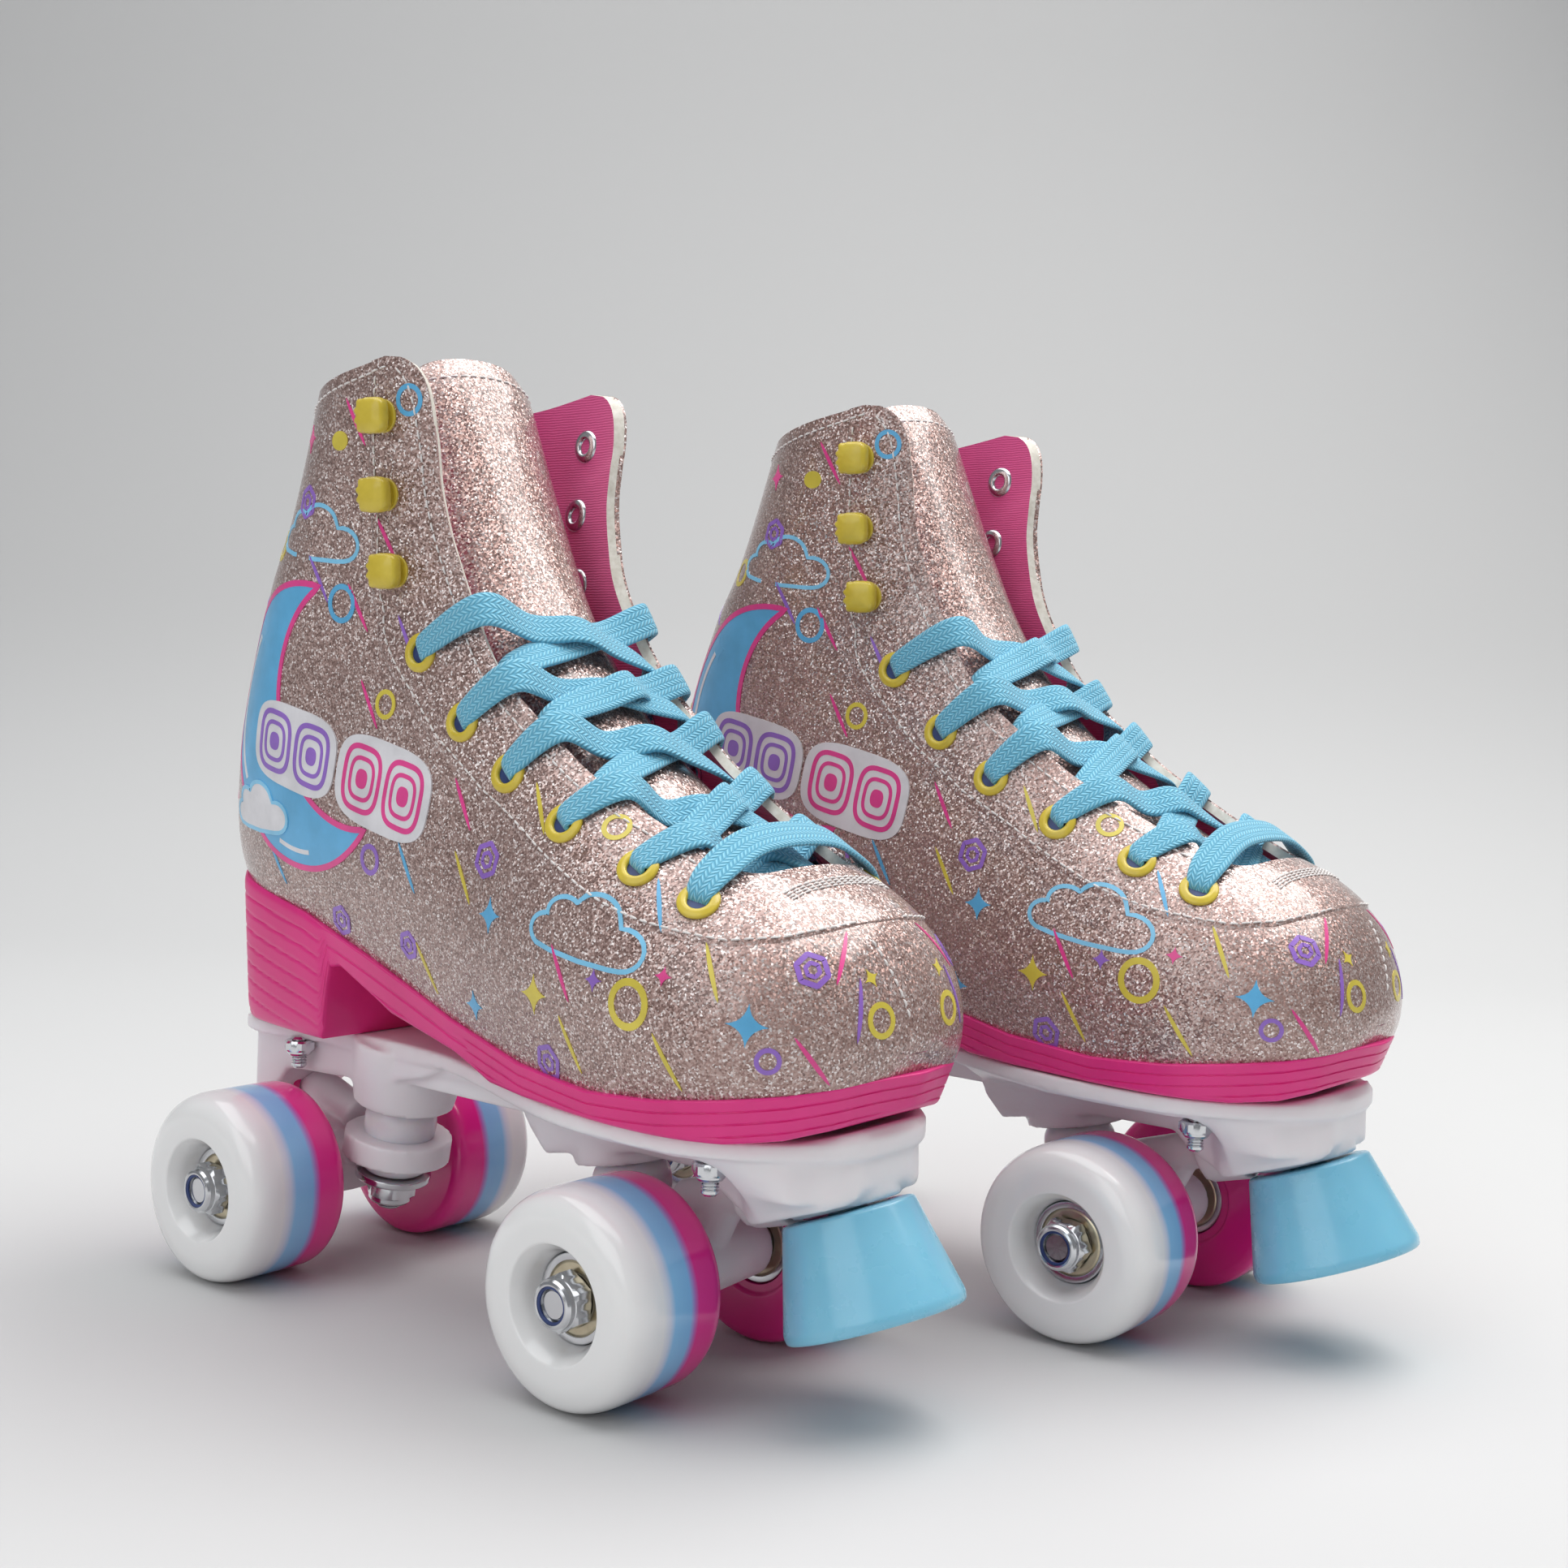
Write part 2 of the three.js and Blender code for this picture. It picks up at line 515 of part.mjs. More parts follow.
// One pass: out of an eyelet, over the flap edge, across the tongue, and under the other flap.
function lacePass(from, to, side, lift) {
  const [u, p, edge] = ROWS[from];
  const [v, , farEdge] = ROWS[to];
  const leave = onBoot(u, edge + 0.035, side, -LACE_LIFT - 0.6);
  const arrive = onBoot(v, Math.min(farEdge + 0.05, 0.98), -side, LACE_SINK);
  const across = [[0.3, 0.4], [0.5, 1], [0.7, 0.4]].map(([share, rise]) =>
    [overTongue(leave.clone().lerp(arrive, share), LACE_CLEAR + rise * lift), 1]);
  return [
    [onBoot(u, p, side, LACE_SINK), LACE_NARROW],
    [onBoot(u, p, side, 0), LACE_NARROW],
    [onBoot(u, p + 0.01, side, -LACE_LIFT), 0.7],
    [leave, 1], ...across, [arrive, 1], [onBoot(v, farEdge - 0.03, -side, LACE_SINK), 0.8],
  ];
}

function laceStops() {
  const last = ROWS.length - 1;
  const down = [];
  const up = [];
  for (let row = 0; row < last; row++) {
    const side = row % 2 ? 1 : -1;
    down.push(...lacePass(row, row + 1, side, 3));
    up.push(...lacePass(row, row + 1, -side, 0));
  }
  const [u, p, edge] = ROWS[last];
  const bar = (side) => [[onBoot(u, p, side, LACE_SINK), LACE_NARROW],
    [onBoot(u, p, side, 0), LACE_NARROW], [onBoot(u, p + 0.01, side, -LACE_LIFT), 0.7],
    [onBoot(u, edge - 0.03, side, -LACE_LIFT - 1.2), 1], [onBoot(u, 0.985, side, -LACE_LIFT - 2.4), 1]];
  const side = last % 2 ? 1 : -1;
  return [...down, ...bar(side), ...bar(-side).reverse(), ...up.reverse()];
}

// The lace, or with extra the room it needs.
function lace(extra = 0) {
  const stops = laceStops();
  const rings = stops.map(([place, share], i) => {
    const before = stops[Math.max(i - 1, 0)][0];
    const after = stops[Math.min(i + 1, stops.length - 1)][0];
    const along = after.clone().sub(before).normalize();
    const across = new THREE.Vector3(0.8, 0, -0.6);
    across.addScaledVector(along, -across.dot(along)).normalize();
    const out = new THREE.Vector3().crossVectors(along, across);
    return [[-1, -1], [1, -1], [1, 1], [-1, 1]].map(([a, b]) => place.clone()
      .addScaledVector(across, a * (share * LACE_WIDTH / 2 + extra))
      .addScaledVector(out, b * (LACE_THICKNESS / 2 + extra)));
  });
  return loft(rings);
}

// ---- Assembly -----------------------------------------------------------------------------
function build(prefix) {
  const skate = new THREE.Group();
  const add = (name, geometry, material) => {
    const mesh = new THREE.Mesh(geometry, material);
    mesh.name = `${prefix}_${name}`;
    skate.add(mesh);
    return mesh;
  };
  const room = lace(GAP);
  add('upper', cut(upper(), room), GLITTER);
  add('tongue', cut(tongue(), room), GLITTER);
  add('lace', lace(), SKY);
  add('outsole', outsole(), PINK);
  add('plate', plate(), NYLON);
  add('toe_stop', toeStop(), SKY);
  for (const [end, place] of [[1, 'front'], [-1, 'rear']]) {
    add(`${place}_hanger`, hanger(end), NYLON);
    add(`${place}_pivot_cup`, pivotCup(end), PINK);
    add(`${place}_kingpin`, kingpin(end), STEEL);
    add(`${place}_upper_cushion`, cushion(end, true), CUSHION);
    add(`${place}_lower_cushion`, cushion(end, false), CUSHION);
    const axleX = end * WHEELBASE / 2;
    add(`${place}_axle`, axle(), STEEL).position.set(axleX, 0, WHEEL_RADIUS);
    for (const [side, turn] of [['inner', 0], ['outer', Math.PI]]) {
      const corner = [[`${place}_${side}_wheel`, wheel(), WHEEL],
        [`${place}_${side}_bearings`, bearings(), BRASS],
        [`${place}_${side}_axle_nut`, axleNut(), STEEL]];
      for (const [name, geometry, material] of corner) {
        const mesh = add(name, geometry, material);
        mesh.position.set(axleX, 0, WHEEL_RADIUS);
        mesh.rotation.z = turn;
      }
    }
  }
  return skate;
}

const right = build('right');
const left = build('left');
left.scale.y = -1;
left.position.set(PAIR_OFFSET[0], PAIR_OFFSET[1], 0);

const pair = new THREE.Group();
pair.add(right, left);
const box = new THREE.Box3().setFromObject(pair, true);
const middle = box.getCenter(new THREE.Vector3());
pair.position.set(-middle.x, -middle.y, -box.min.z);

const group = new THREE.Group();
group.add(pair);

export default group;
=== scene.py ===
"""A pair of quad roller skates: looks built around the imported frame.

Shapes are worked out in a skate's own frame, in millimetres: +X towards the toes, +Y towards the
skate's inner side, +Z up, with the origin on the floor under the middle of the wheelbase.
The left skate is the mirror image of the right one.
"""
import math

import bpy
import numpy as np
from mathutils import Matrix, Vector
from mathutils.bvhtree import BVHTree
from mathutils.geometry import delaunay_2d_cdt


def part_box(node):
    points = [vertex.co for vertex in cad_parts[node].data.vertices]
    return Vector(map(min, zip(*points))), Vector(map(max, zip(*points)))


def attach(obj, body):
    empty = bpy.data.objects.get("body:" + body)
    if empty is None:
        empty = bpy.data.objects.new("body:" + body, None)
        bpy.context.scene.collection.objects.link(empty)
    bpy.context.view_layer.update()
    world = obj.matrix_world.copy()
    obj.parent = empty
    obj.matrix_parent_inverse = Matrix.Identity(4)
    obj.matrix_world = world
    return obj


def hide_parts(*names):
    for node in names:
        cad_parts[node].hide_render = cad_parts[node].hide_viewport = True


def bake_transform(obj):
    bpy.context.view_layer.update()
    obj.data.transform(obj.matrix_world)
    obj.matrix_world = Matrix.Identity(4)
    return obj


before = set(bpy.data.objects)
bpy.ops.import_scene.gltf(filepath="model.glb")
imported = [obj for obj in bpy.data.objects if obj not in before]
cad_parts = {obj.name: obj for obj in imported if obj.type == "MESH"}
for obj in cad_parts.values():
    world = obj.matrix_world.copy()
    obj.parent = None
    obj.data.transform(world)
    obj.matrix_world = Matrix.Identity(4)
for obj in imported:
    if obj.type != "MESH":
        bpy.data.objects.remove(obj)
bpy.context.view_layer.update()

# ---- Sizes, as in the CAD model ------------------------------------------------------------
MM = 0.001
SIDES = ("right", "left")
MIRROR = {"right": 1.0, "left": -1.0}
WHEELBASE = 141.6
WHEEL_RADIUS = 27.0
WHEEL_WIDTH = 32.0
TRACK = 105.9
BEARING_WIDTH = 7.0
BEARING_DEPTHS = (7.5, 23.5)      # of the two bearings, from the wheel's outer face
AXLE_RADIUS = 4.0
NUT_FLATS = 13.0
NUT_BORE = 4.05
RING_REACH = 23.0
RING_HEIGHT = 36.0
PIVOT_REACH = 21.2
PIVOT_HEIGHT = 49.5
KINGPIN_TILT = math.radians(10)
DECK_TOP = 70.0
DECK_THICKNESS = 4.5
STOP_TILT = math.radians(21.3)
STOP_PLACE = (117.6, 49.3)
WALL = 3.0
TONGUE_THICKNESS = 3.5
ROUND = 64                       # sides of a turned piece


# ---- Frames ---------------------------------------------------------------------------------
def skate_origin(side):
    """The skate frame's origin in the row frame, from the front axle."""
    low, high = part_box(f"{side}_front_axle")
    return np.array((low + high) / 2) - np.array([WHEELBASE / 2, 0, WHEEL_RADIUS]) * MM


ORIGIN = {side: skate_origin(side) for side in SIDES}


def to_row(side, points):
    """Skate frame in millimetres to row frame in metres."""
    points = np.asarray(points, float).reshape(-1, 3) * MM
    return points * [1, MIRROR[side], 1] + ORIGIN[side]


def turned_to(origin, direction, spin=0.0):
    """Matrix that stands a piece made along Z at origin, along direction."""
    turn = Vector((0, 0, 1)).rotation_difference(Vector(direction).normalized()).to_matrix().to_4x4()
    return Matrix.Translation(Vector(origin)) @ turn @ Matrix.Rotation(spin, 4, "Z")


def frame_of(x, y, z, origin):
    """Matrix with these axes and this origin."""
    m = np.eye(4)
    m[:3, 0], m[:3, 1], m[:3, 2], m[:3, 3] = x, y, z, origin
    return m


# ---- Shapes ---------------------------------------------------------------------------------
def unit(v):
    return v / np.linalg.norm(v)


def lengths(points):
    """Length along a line of points, up to each of them."""
    return np.concatenate([[0], np.cumsum(np.linalg.norm(np.diff(points, axis=0), axis=1))])


class Shape:
    """Vertices (n, 3), faces, one material number per face, and values per vertex."""

    def __init__(self, verts, faces, mats=0, **values):
        self.verts = np.asarray(verts, float).reshape(-1, 3)
        self.faces = [tuple(f) for f in faces]
        self.mats = [mats] * len(self.faces) if isinstance(mats, int) else list(mats)
        self.values = {k: np.asarray(v, float) for k, v in values.items()}

    def placed(self, matrix):
        m = np.array(matrix)
        return Shape(self.verts @ m[:3, :3].T + m[:3, 3], self.faces, self.mats, **self.values)


def together(*shapes):
    verts, faces, mats, start = [], [], [], 0
    for s in shapes:
        verts.append(s.verts)
        faces += [tuple(i + start for i in f) for f in s.faces]
        mats += s.mats
        start += len(s.verts)
    values = {k: np.concatenate([s.values[k] for s in shapes]) for k in shapes[0].values}
    return Shape(np.concatenate(verts), faces, mats, **values)


def welded(shape, tolerance=1e-3):
    """Joins vertices that coincide and drops faces with no area."""
    keys = np.round(shape.verts / tolerance).astype(np.int64)
    _, first, where = np.unique(keys, axis=0, return_index=True, return_inverse=True)
    where = where.reshape(-1)
    faces, mats = [], []
    for face, mat in zip(shape.faces, shape.mats):
        ring = []
        for i in face:
            j = int(where[i])
            if not ring or ring[-1] != j:
                ring.append(j)
        if len(ring) > 1 and ring[0] == ring[-1]:
            ring.pop()
        if len(set(ring)) == len(ring) and len(ring) > 2:
            faces.append(tuple(ring))
            mats.append(mat)
    values = {k: v[first] for k, v in shape.values.items()}
    return Shape(shape.verts[first], faces, mats, **values)


def grid_faces(rows, cols, close_rows=False, close_cols=False):
    faces = []
    for i in range(rows if close_rows else rows - 1):
        for j in range(cols if close_cols else cols - 1):
            a, b = i * cols + j, i * cols + (j + 1) % cols
            c, d = ((i + 1) % rows) * cols + (j + 1) % cols, ((i + 1) % rows) * cols + j
            faces.append((a, b, c, d))
    return faces


def rounded(points, radius=0.5, steps=4, closed=True):
    """Rounds the corners of a profile. A point is (r, h) or (r, h, its own radius)."""
    out, count = [], len(points)
    for i, point in enumerate(points):
        size = point[2] if len(point) > 2 else radius
        here = np.array(point[:2], float)
        ends = not closed and i in (0, count - 1)
        if size <= 0 or here[0] < 1e-6 or ends:
            out.append(tuple(here))
            continue
        back = np.array(points[i - 1][:2], float) - here
        on = np.array(points[(i + 1) % count][:2], float) - here
        reach = [min(size, 0.48 * np.linalg.norm(v)) / max(np.linalg.norm(v), 1e-9) for v in (back, on)]
        for t in np.linspace(0, 1, steps + 1):
            a, b = here + back * reach[0], here + on * reach[1]
            out.append(tuple((1 - t) ** 2 * a + 2 * t * (1 - t) * here + t * t * b))
    return out


def turned(profile, sides=ROUND):
    """Solid of revolution about Z. The profile is a closed ring of (radius, height)."""
    count = len(profile)
    angles = np.arange(sides) * 2 * np.pi / sides
    ring = np.array([p[:2] for p in profile], float)
    verts = np.stack([
        np.outer(np.cos(angles), ring[:, 0]), np.outer(np.sin(angles), ring[:, 0]),
        np.tile(ring[:, 1], (sides, 1))], axis=2).reshape(-1, 3)
    return outward(welded(Shape(verts, grid_faces(sides, count, True, True))))


def outward(shape):
    """Turns the faces of a closed shape to look outwards."""
    total = 0.0
    for face in shape.faces:
        points = shape.verts[list(face)]
        for k in range(1, len(face) - 1):
            total += np.dot(points[0], np.cross(points[k], points[k + 1]))
    if total < 0:
        shape.faces = [f[::-1] for f in shape.faces]
    return shape


def skinned(rings, **values):
    """Closed skin through equal rings of points."""
    rings = np.asarray(rings, float)
    rows, cols = rings.shape[:2]
    faces = grid_faces(rows, cols, close_cols=True)
    faces += [tuple(range(cols))[::-1], tuple(range((rows - 1) * cols, rows * cols))]
    return outward(Shape(rings.reshape(-1, 3), faces, **values))


def double_faces(rows, cols, rim=lambda i, j: True, ends=None):
    """Faces of a top sheet, of the under sheet that follows it, and of the edge between them.

    rim says where the sides are closed, and ends names the rows that are closed."""
    start = rows * cols
    top = grid_faces(rows, cols)
    under = [tuple(i + start for i in f[::-1]) for f in top]
    edge = []
    for i in range(rows - 1):
        for j in (0, cols - 1):
            if rim(i, j):
                a, b = i * cols + j, (i + 1) * cols + j
                ring = (a, b, b + start, a + start)
                edge.append(ring[::-1] if j else ring)
    for i in (0, rows - 1) if ends is None else ends:
        for j in range(cols - 1):
            a = i * cols + j
            ring = (a, a + 1, a + 1 + start, a + start)
            edge.append(ring if i else ring[::-1])
    return top, under, edge


def curve_through(points, count, closed=False):
    """Evenly spaced points on a Catmull-Rom curve, of any number of columns."""
    p = np.asarray(points, float)
    if closed:
        p = np.vstack([p[-1], p, p[0], p[1]])
    else:
        p = np.vstack([2 * p[0] - p[1], p, 2 * p[-1] - p[-2]])
    fine = []
    for i in range(1, len(p) - 2):
        for t in np.linspace(0, 1, 24, endpoint=False):
            fine.append(catmull(p[i - 1], p[i], p[i + 1], p[i + 2], t))
    fine.append(p[-2])
    fine = np.array(fine)
    if count is None:
        return fine
    size = min(3, fine.shape[1])
    along = lengths(fine[:, :size])
    wanted = np.linspace(0, along[-1], count)
    return np.stack([np.interp(wanted, along, fine[:, k]) for k in range(fine.shape[1])], axis=1)


def catmull(a, b, c, d, t):
    return 0.5 * (2 * b + (c - a) * t + (2 * a - 5 * b + 4 * c - d) * t * t
                  + (3 * b - a - 3 * c + d) * t ** 3)


def make(name, shape, body, mats, node=None, crisp=35, bend=None):
    """Makes the piece on both skates. body, node and bend are named without the side."""
    made = []
    for side in SIDES:
        mesh = bpy.data.meshes.new(f"{side}_{name}")
        here = shape if side == "right" else Shape(
            shape.verts, [f[::-1] for f in shape.faces], shape.mats, **shape.values)
        mesh.from_pydata(to_row(side, here.verts).tolist(), [], here.faces)
        for mat in mats:
            mesh.materials.append(mat)
        mesh.polygons.foreach_set("material_index", np.array(here.mats, np.int32))
        mesh.polygons.foreach_set("use_smooth", np.ones(len(here.faces), bool))
        for key, value in here.values.items():
            if key == "uv":
                layer = mesh.uv_layers.new(name="UVMap")
                corner = np.zeros(len(mesh.loops), np.int32)
                mesh.loops.foreach_get("vertex_index", corner)
                layer.data.foreach_set("uv", value[corner].astype(np.float32).ravel())
            else:
                mesh.attributes.new(key, "FLOAT", "POINT").data.foreach_set(
                    "value", value.astype(np.float32))
        mesh.set_sharp_from_angle(angle=math.radians(crisp))
        mesh.update()
        obj = bpy.data.objects.new(f"{side}_{name}", mesh)
        bpy.context.scene.collection.objects.link(obj)
        if bend:
            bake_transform(obj)
        else:
            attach(obj, f"{side}_{body}")
        if node:
            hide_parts(f"{side}_{node}")
        made.append(obj)
    return made


# ---- Camera ---------------------------------------------------------------------------------
def make_camera():
    """The photograph's camera, placed from the right skate."""
    eye = Vector(to_row("right", [(398.1, -379.1, 178.5)])[0])
    look = Vector((-0.6257, 0.778, -0.0571)).normalized()
    level = look.cross(Vector((0, 0, 1))).normalized()
    roll = math.radians(2.0)
    across = (level * math.cos(roll) + level.cross(look) * math.sin(roll)).normalized()
    up = across.cross(look)
    data = bpy.data.cameras.new("camera")
    data.lens, data.sensor_width, data.clip_start, data.clip_end = 45.45, 36.0, 0.01, 20.0
    camera = bpy.data.objects.new("camera", data)
    bpy.context.scene.collection.objects.link(camera)
    turn = Matrix((across, up, -look)).transposed().to_4x4()
    camera.matrix_world = Matrix.Translation(eye) @ turn
    bpy.context.scene.camera = camera


make_camera()


# ---- Materials ------------------------------------------------------------------------------
class Finish:
    """A node material: a Principled shader and a few shorthands for the nodes around it."""

    def __init__(self, name, color, roughness=0.5, metallic=0.0, **sockets):
        self.mat = bpy.data.materials.new(name)
        self.mat.use_nodes = True
        self.tree = self.mat.node_tree
        self.bsdf = self.tree.nodes["Principled BSDF"]
        self.set("Base Color", (*color, 1.0))
        self.set("Roughness", roughness)
        self.set("Metallic", metallic)
        for key, value in sockets.items():
            self.set(key.replace("_", " "), value)

    def set(self, socket, value):
        self.bsdf.inputs[socket].default_value = value

    def node(self, kind, **settings):
        node = self.tree.nodes.new(kind)
        for key, value in settings.items():
            if key in node.inputs:
                node.inputs[key].default_value = value
            elif key.replace("_", " ") in node.inputs:
                node.inputs[key.replace("_", " ")].default_value = value
            else:
                setattr(node, key, value)
        return node

    def link(self, a, b):
        self.tree.links.new(a, b)

    def to(self, socket, output):
        self.link(output, self.bsdf.inputs[socket])

    def place(self):
        return self.node("ShaderNodeTexCoord").outputs["Object"]

    def noise(self, scale, detail=4.0):
        node = self.node("ShaderNodeTexNoise", Scale=scale, Detail=detail, Roughness=0.55)
        self.link(self.place(), node.inputs["Vector"])
        return node.outputs["Fac"]

    def math(self, operation, a, b=0.0, c=0.0):
        node = self.node("ShaderNodeMath", operation=operation)
        for socket, value in zip(node.inputs, (a, b, c)):
            if isinstance(value, (int, float)):
                socket.default_value = value
            else:
                self.link(value, socket)
        return node.outputs[0]

    def ramp(self, factor, stops, ease="LINEAR"):
        node = self.node("ShaderNodeValToRGB")
        node.color_ramp.interpolation = ease
        items = node.color_ramp.elements
        while len(items) < len(stops):
            items.new(0.5)
        for item, (at, color) in zip(items, stops):
            item.position = at
            item.color = (*color, 1.0) if len(color) == 3 else color
        self.link(factor, node.inputs["Fac"])
        return node.outputs["Color"]

    def bump(self, height, distance, strength):
        node = self.node("ShaderNodeBump", Strength=strength, Distance=distance)
        self.link(height, node.inputs["Height"])
        self.to("Normal", node.outputs["Normal"])


def glitter():
    """Flakes of about half a millimetre under a clear film, each tipped its own way."""
    f = Finish("glitter", (0.45, 0.31, 0.27), 0.34, 0.55, Coat_Weight=0.85, Coat_Roughness=0.14)
    flake = f.node("ShaderNodeTexVoronoi", Scale=2200.0, Randomness=1.0)
    f.link(f.place(), flake.inputs["Vector"])
    parts = f.node("ShaderNodeSeparateColor")
    f.link(flake.outputs["Color"], parts.inputs["Color"])
    shade = f.ramp(parts.outputs[0], [
        (0.0, (0.265, 0.15, 0.125)), (0.35, (0.40, 0.255, 0.225)), (0.74, (0.55, 0.395, 0.36)),
        (0.9, (0.77, 0.655, 0.625)), (1.0, (0.98, 0.93, 0.92))])
    tone = f.ramp(f.noise(26.0, 3.0), [(0.3, (0.86, 0.84, 0.84)), (0.7, (1.0, 1.0, 1.0))])
    mixed = f.node("ShaderNodeMix", data_type="RGBA", blend_type="MULTIPLY")
    mixed.inputs["Factor"].default_value = 1.0
    f.link(shade, mixed.inputs["A"])
    f.link(tone, mixed.inputs["B"])
    f.to("Base Color", mixed.outputs["Result"])
    tip = f.node("ShaderNodeVectorMath", operation="SUBTRACT")
    f.link(flake.outputs["Color"], tip.inputs[0])
    tip.inputs[1].default_value = (0.5, 0.5, 0.5)
    lean = f.node("ShaderNodeVectorMath", operation="SCALE")
    f.link(tip.outputs[0], lean.inputs[0])
    lean.inputs["Scale"].default_value = 0.75
    total = f.node("ShaderNodeVectorMath", operation="ADD")
    f.link(f.node("ShaderNodeNewGeometry").outputs["Normal"], total.inputs[0])
    f.link(lean.outputs[0], total.inputs[1])
    facing_way = f.node("ShaderNodeVectorMath", operation="NORMALIZE")
    f.link(total.outputs[0], facing_way.inputs[0])
    f.to("Normal", facing_way.outputs[0])
    f.to("Roughness", f.math("MULTIPLY_ADD", parts.outputs[1], 0.3, 0.2))
    return f.mat


def ribbed_lining():
    """Ribbed knit inside the boot."""
    f = Finish("lining", (0.72, 0.07, 0.26), 0.8, Sheen_Weight=0.35, Sheen_Roughness=0.5)
    wave = f.node("ShaderNodeTexWave", bands_direction="Z", Scale=420.0, Distortion=2.5, Detail=3.0)
    f.link(f.place(), wave.inputs["Vector"])
    # The colour follows the rib height: darker in the valleys between the ribs, painted shade over one pink
    # yarn.
    f.to("Base Color", f.ramp(wave.outputs["Fac"], [(0.0, (0.66, 0.06, 0.24)), (1.0, (0.76, 0.09, 0.30))]))
    f.bump(wave.outputs["Fac"], 0.0002, 0.5)
    return f.mat


FULL_TURN = 6.2832


def woven_lace():
    """Flat braid: lengthwise columns of slanted strands, from the mesh's own length and width."""
    f = Finish("lace_weave", (0.13, 0.46, 0.66), 0.72, Sheen_Weight=0.3, Sheen_Roughness=0.45)
    uv = f.node("ShaderNodeSeparateXYZ")
    f.link(f.node("ShaderNodeUVMap").outputs["UV"], uv.inputs[0])
    column = f.math("DIVIDE", uv.outputs[1], 1.55)
    inside = f.math("SUBTRACT", f.math("FRACT", column), 0.5)
    odd = f.math("SUBTRACT", f.math("MULTIPLY", f.math("FLOOR", f.math("MODULO", f.math("ABSOLUTE",
                 f.math("FLOOR", column)), 2.0)), 2.0), 1.0)
    slant = f.math("MULTIPLY", f.math("MULTIPLY", inside, odd), 1.1)
    strand = f.math("SINE", f.math("MULTIPLY", f.math("ADD", f.math("DIVIDE", uv.outputs[0], 1.45), slant),
                                   FULL_TURN))
    ridge = f.math("SUBTRACT", 1.0, f.math("POWER", f.math("ABSOLUTE", f.math("MULTIPLY", inside, 2.0)), 3.0))
    height = f.math("MULTIPLY", f.math("MULTIPLY_ADD", strand, 0.5, 0.5), ridge)
    # The braid's colour follows the strand height: darker between the strands and lighter on their crowns,
    # painted shade and painted highlight over one blue thread.
    f.to("Base Color", f.ramp(height, [(0.0, (0.085, 0.35, 0.52)), (0.45, (0.18, 0.54, 0.73)),
                                       (1.0, (0.29, 0.67, 0.85))]))
    f.bump(height, 0.00035, 0.9)
    return f.mat


def wheel_urethane():
    """Poured in three colours that run into each other across the width."""
    f = Finish("wheel", (0.9, 0.9, 0.9), 0.2, Coat_Weight=0.5, Coat_Roughness=0.08,
               Subsurface_Weight=0.12, Subsurface_Scale=0.004)
    f.set("Subsurface Radius", (1.0, 0.8, 0.8))
    depth = f.node("ShaderNodeAttribute", attribute_name="depth").outputs["Fac"]
    wander = f.math("MULTIPLY_ADD", f.noise(40.0, 2.0), 0.05, -0.025)
    f.to("Base Color", f.ramp(f.math("ADD", depth, wander), [
        (0.0, (0.86, 0.86, 0.855)), (0.31, (0.86, 0.85, 0.86)), (0.38, (0.68, 0.72, 0.86)),
        (0.44, (0.28, 0.57, 0.88)), (0.61, (0.26, 0.53, 0.86)), (0.66, (0.50, 0.18, 0.56)),
        (0.70, (0.82, 0.02, 0.28)), (1.0, (0.84, 0.02, 0.27))]))
    f.bump(f.noise(60.0, 3.0), 0.0002, 0.15)
    return f.mat


def material(name, color, roughness, tint=None, gloss=None, grain=None, metal=0.0, radius=None, **sockets):
    """A finish with a wandering colour (tint), a range of roughness (gloss) and a fine bump (grain)."""
    f = Finish(name, color, roughness, metal, **sockets)
    if radius:
        f.set("Subsurface Radius", radius)
    if tint:
        f.to("Base Color", f.ramp(f.noise(tint[0]), [(0.3, tint[1]), (0.7, tint[2])]))
    if gloss:
        scale, low, high = gloss
        f.to("Roughness", f.math("MULTIPLY_ADD", f.noise(scale), high - low, low))
    if grain:
        f.bump(f.noise(grain[0]), *grain[1:])
    return f.mat


def print_ink(name, color):
    """Slightly uneven ink on the film."""
    f = Finish(name, color, 0.35, Coat_Weight=0.4, Coat_Roughness=0.2)
    dark, light = tuple(c * 0.9 for c in color), tuple(min(1, c * 1.12 + 0.01) for c in color)
    f.to("Base Color", f.ramp(f.noise(90.0), [(0.3, dark), (0.7, light)]))
    f.bump(f.noise(1700.0, 1.0), 0.00006, 0.35)
    return f.mat


GLITTER = glitter()
LINING = ribbed_lining()
LACE = woven_lace()
WHEEL = wheel_urethane()
EDGE = material("cut_edge", (0.72, 0.68, 0.60), 0.65, (500.0, (0.60, 0.56, 0.48), (0.80, 0.77, 0.70)))
THREAD = material("thread", (0.80, 0.76, 0.74), 0.6, (1800.0, (0.68, 0.63, 0.61), (0.9, 0.88, 0.87)))
PINK = material("sole_pink", (0.76, 0.02, 0.22), 0.38, (30.0, (0.70, 0.016, 0.20), (0.82, 0.025, 0.25)),
                (120.0, 0.32, 0.46), (900.0, 0.0001, 0.25), Coat_Weight=0.15, Coat_Roughness=0.3,
                Subsurface_Weight=0.06, Subsurface_Scale=0.003)
NYLON = material("nylon", (0.84, 0.80, 0.83), 0.36, (22.0, (0.80, 0.76, 0.79), (0.88, 0.85, 0.87)),
                 (150.0, 0.30, 0.44), (700.0, 0.00008, 0.2), radius=(1.0, 0.75, 0.8), Coat_Weight=0.12,
                 Coat_Roughness=0.25, Subsurface_Weight=0.35, Subsurface_Scale=0.006)
MILK = material("urethane", (0.76, 0.72, 0.76), 0.3, (60.0, (0.70, 0.66, 0.71), (0.80, 0.77, 0.80)),
                Coat_Weight=0.2, Coat_Roughness=0.2, Subsurface_Weight=0.4, Subsurface_Scale=0.005)
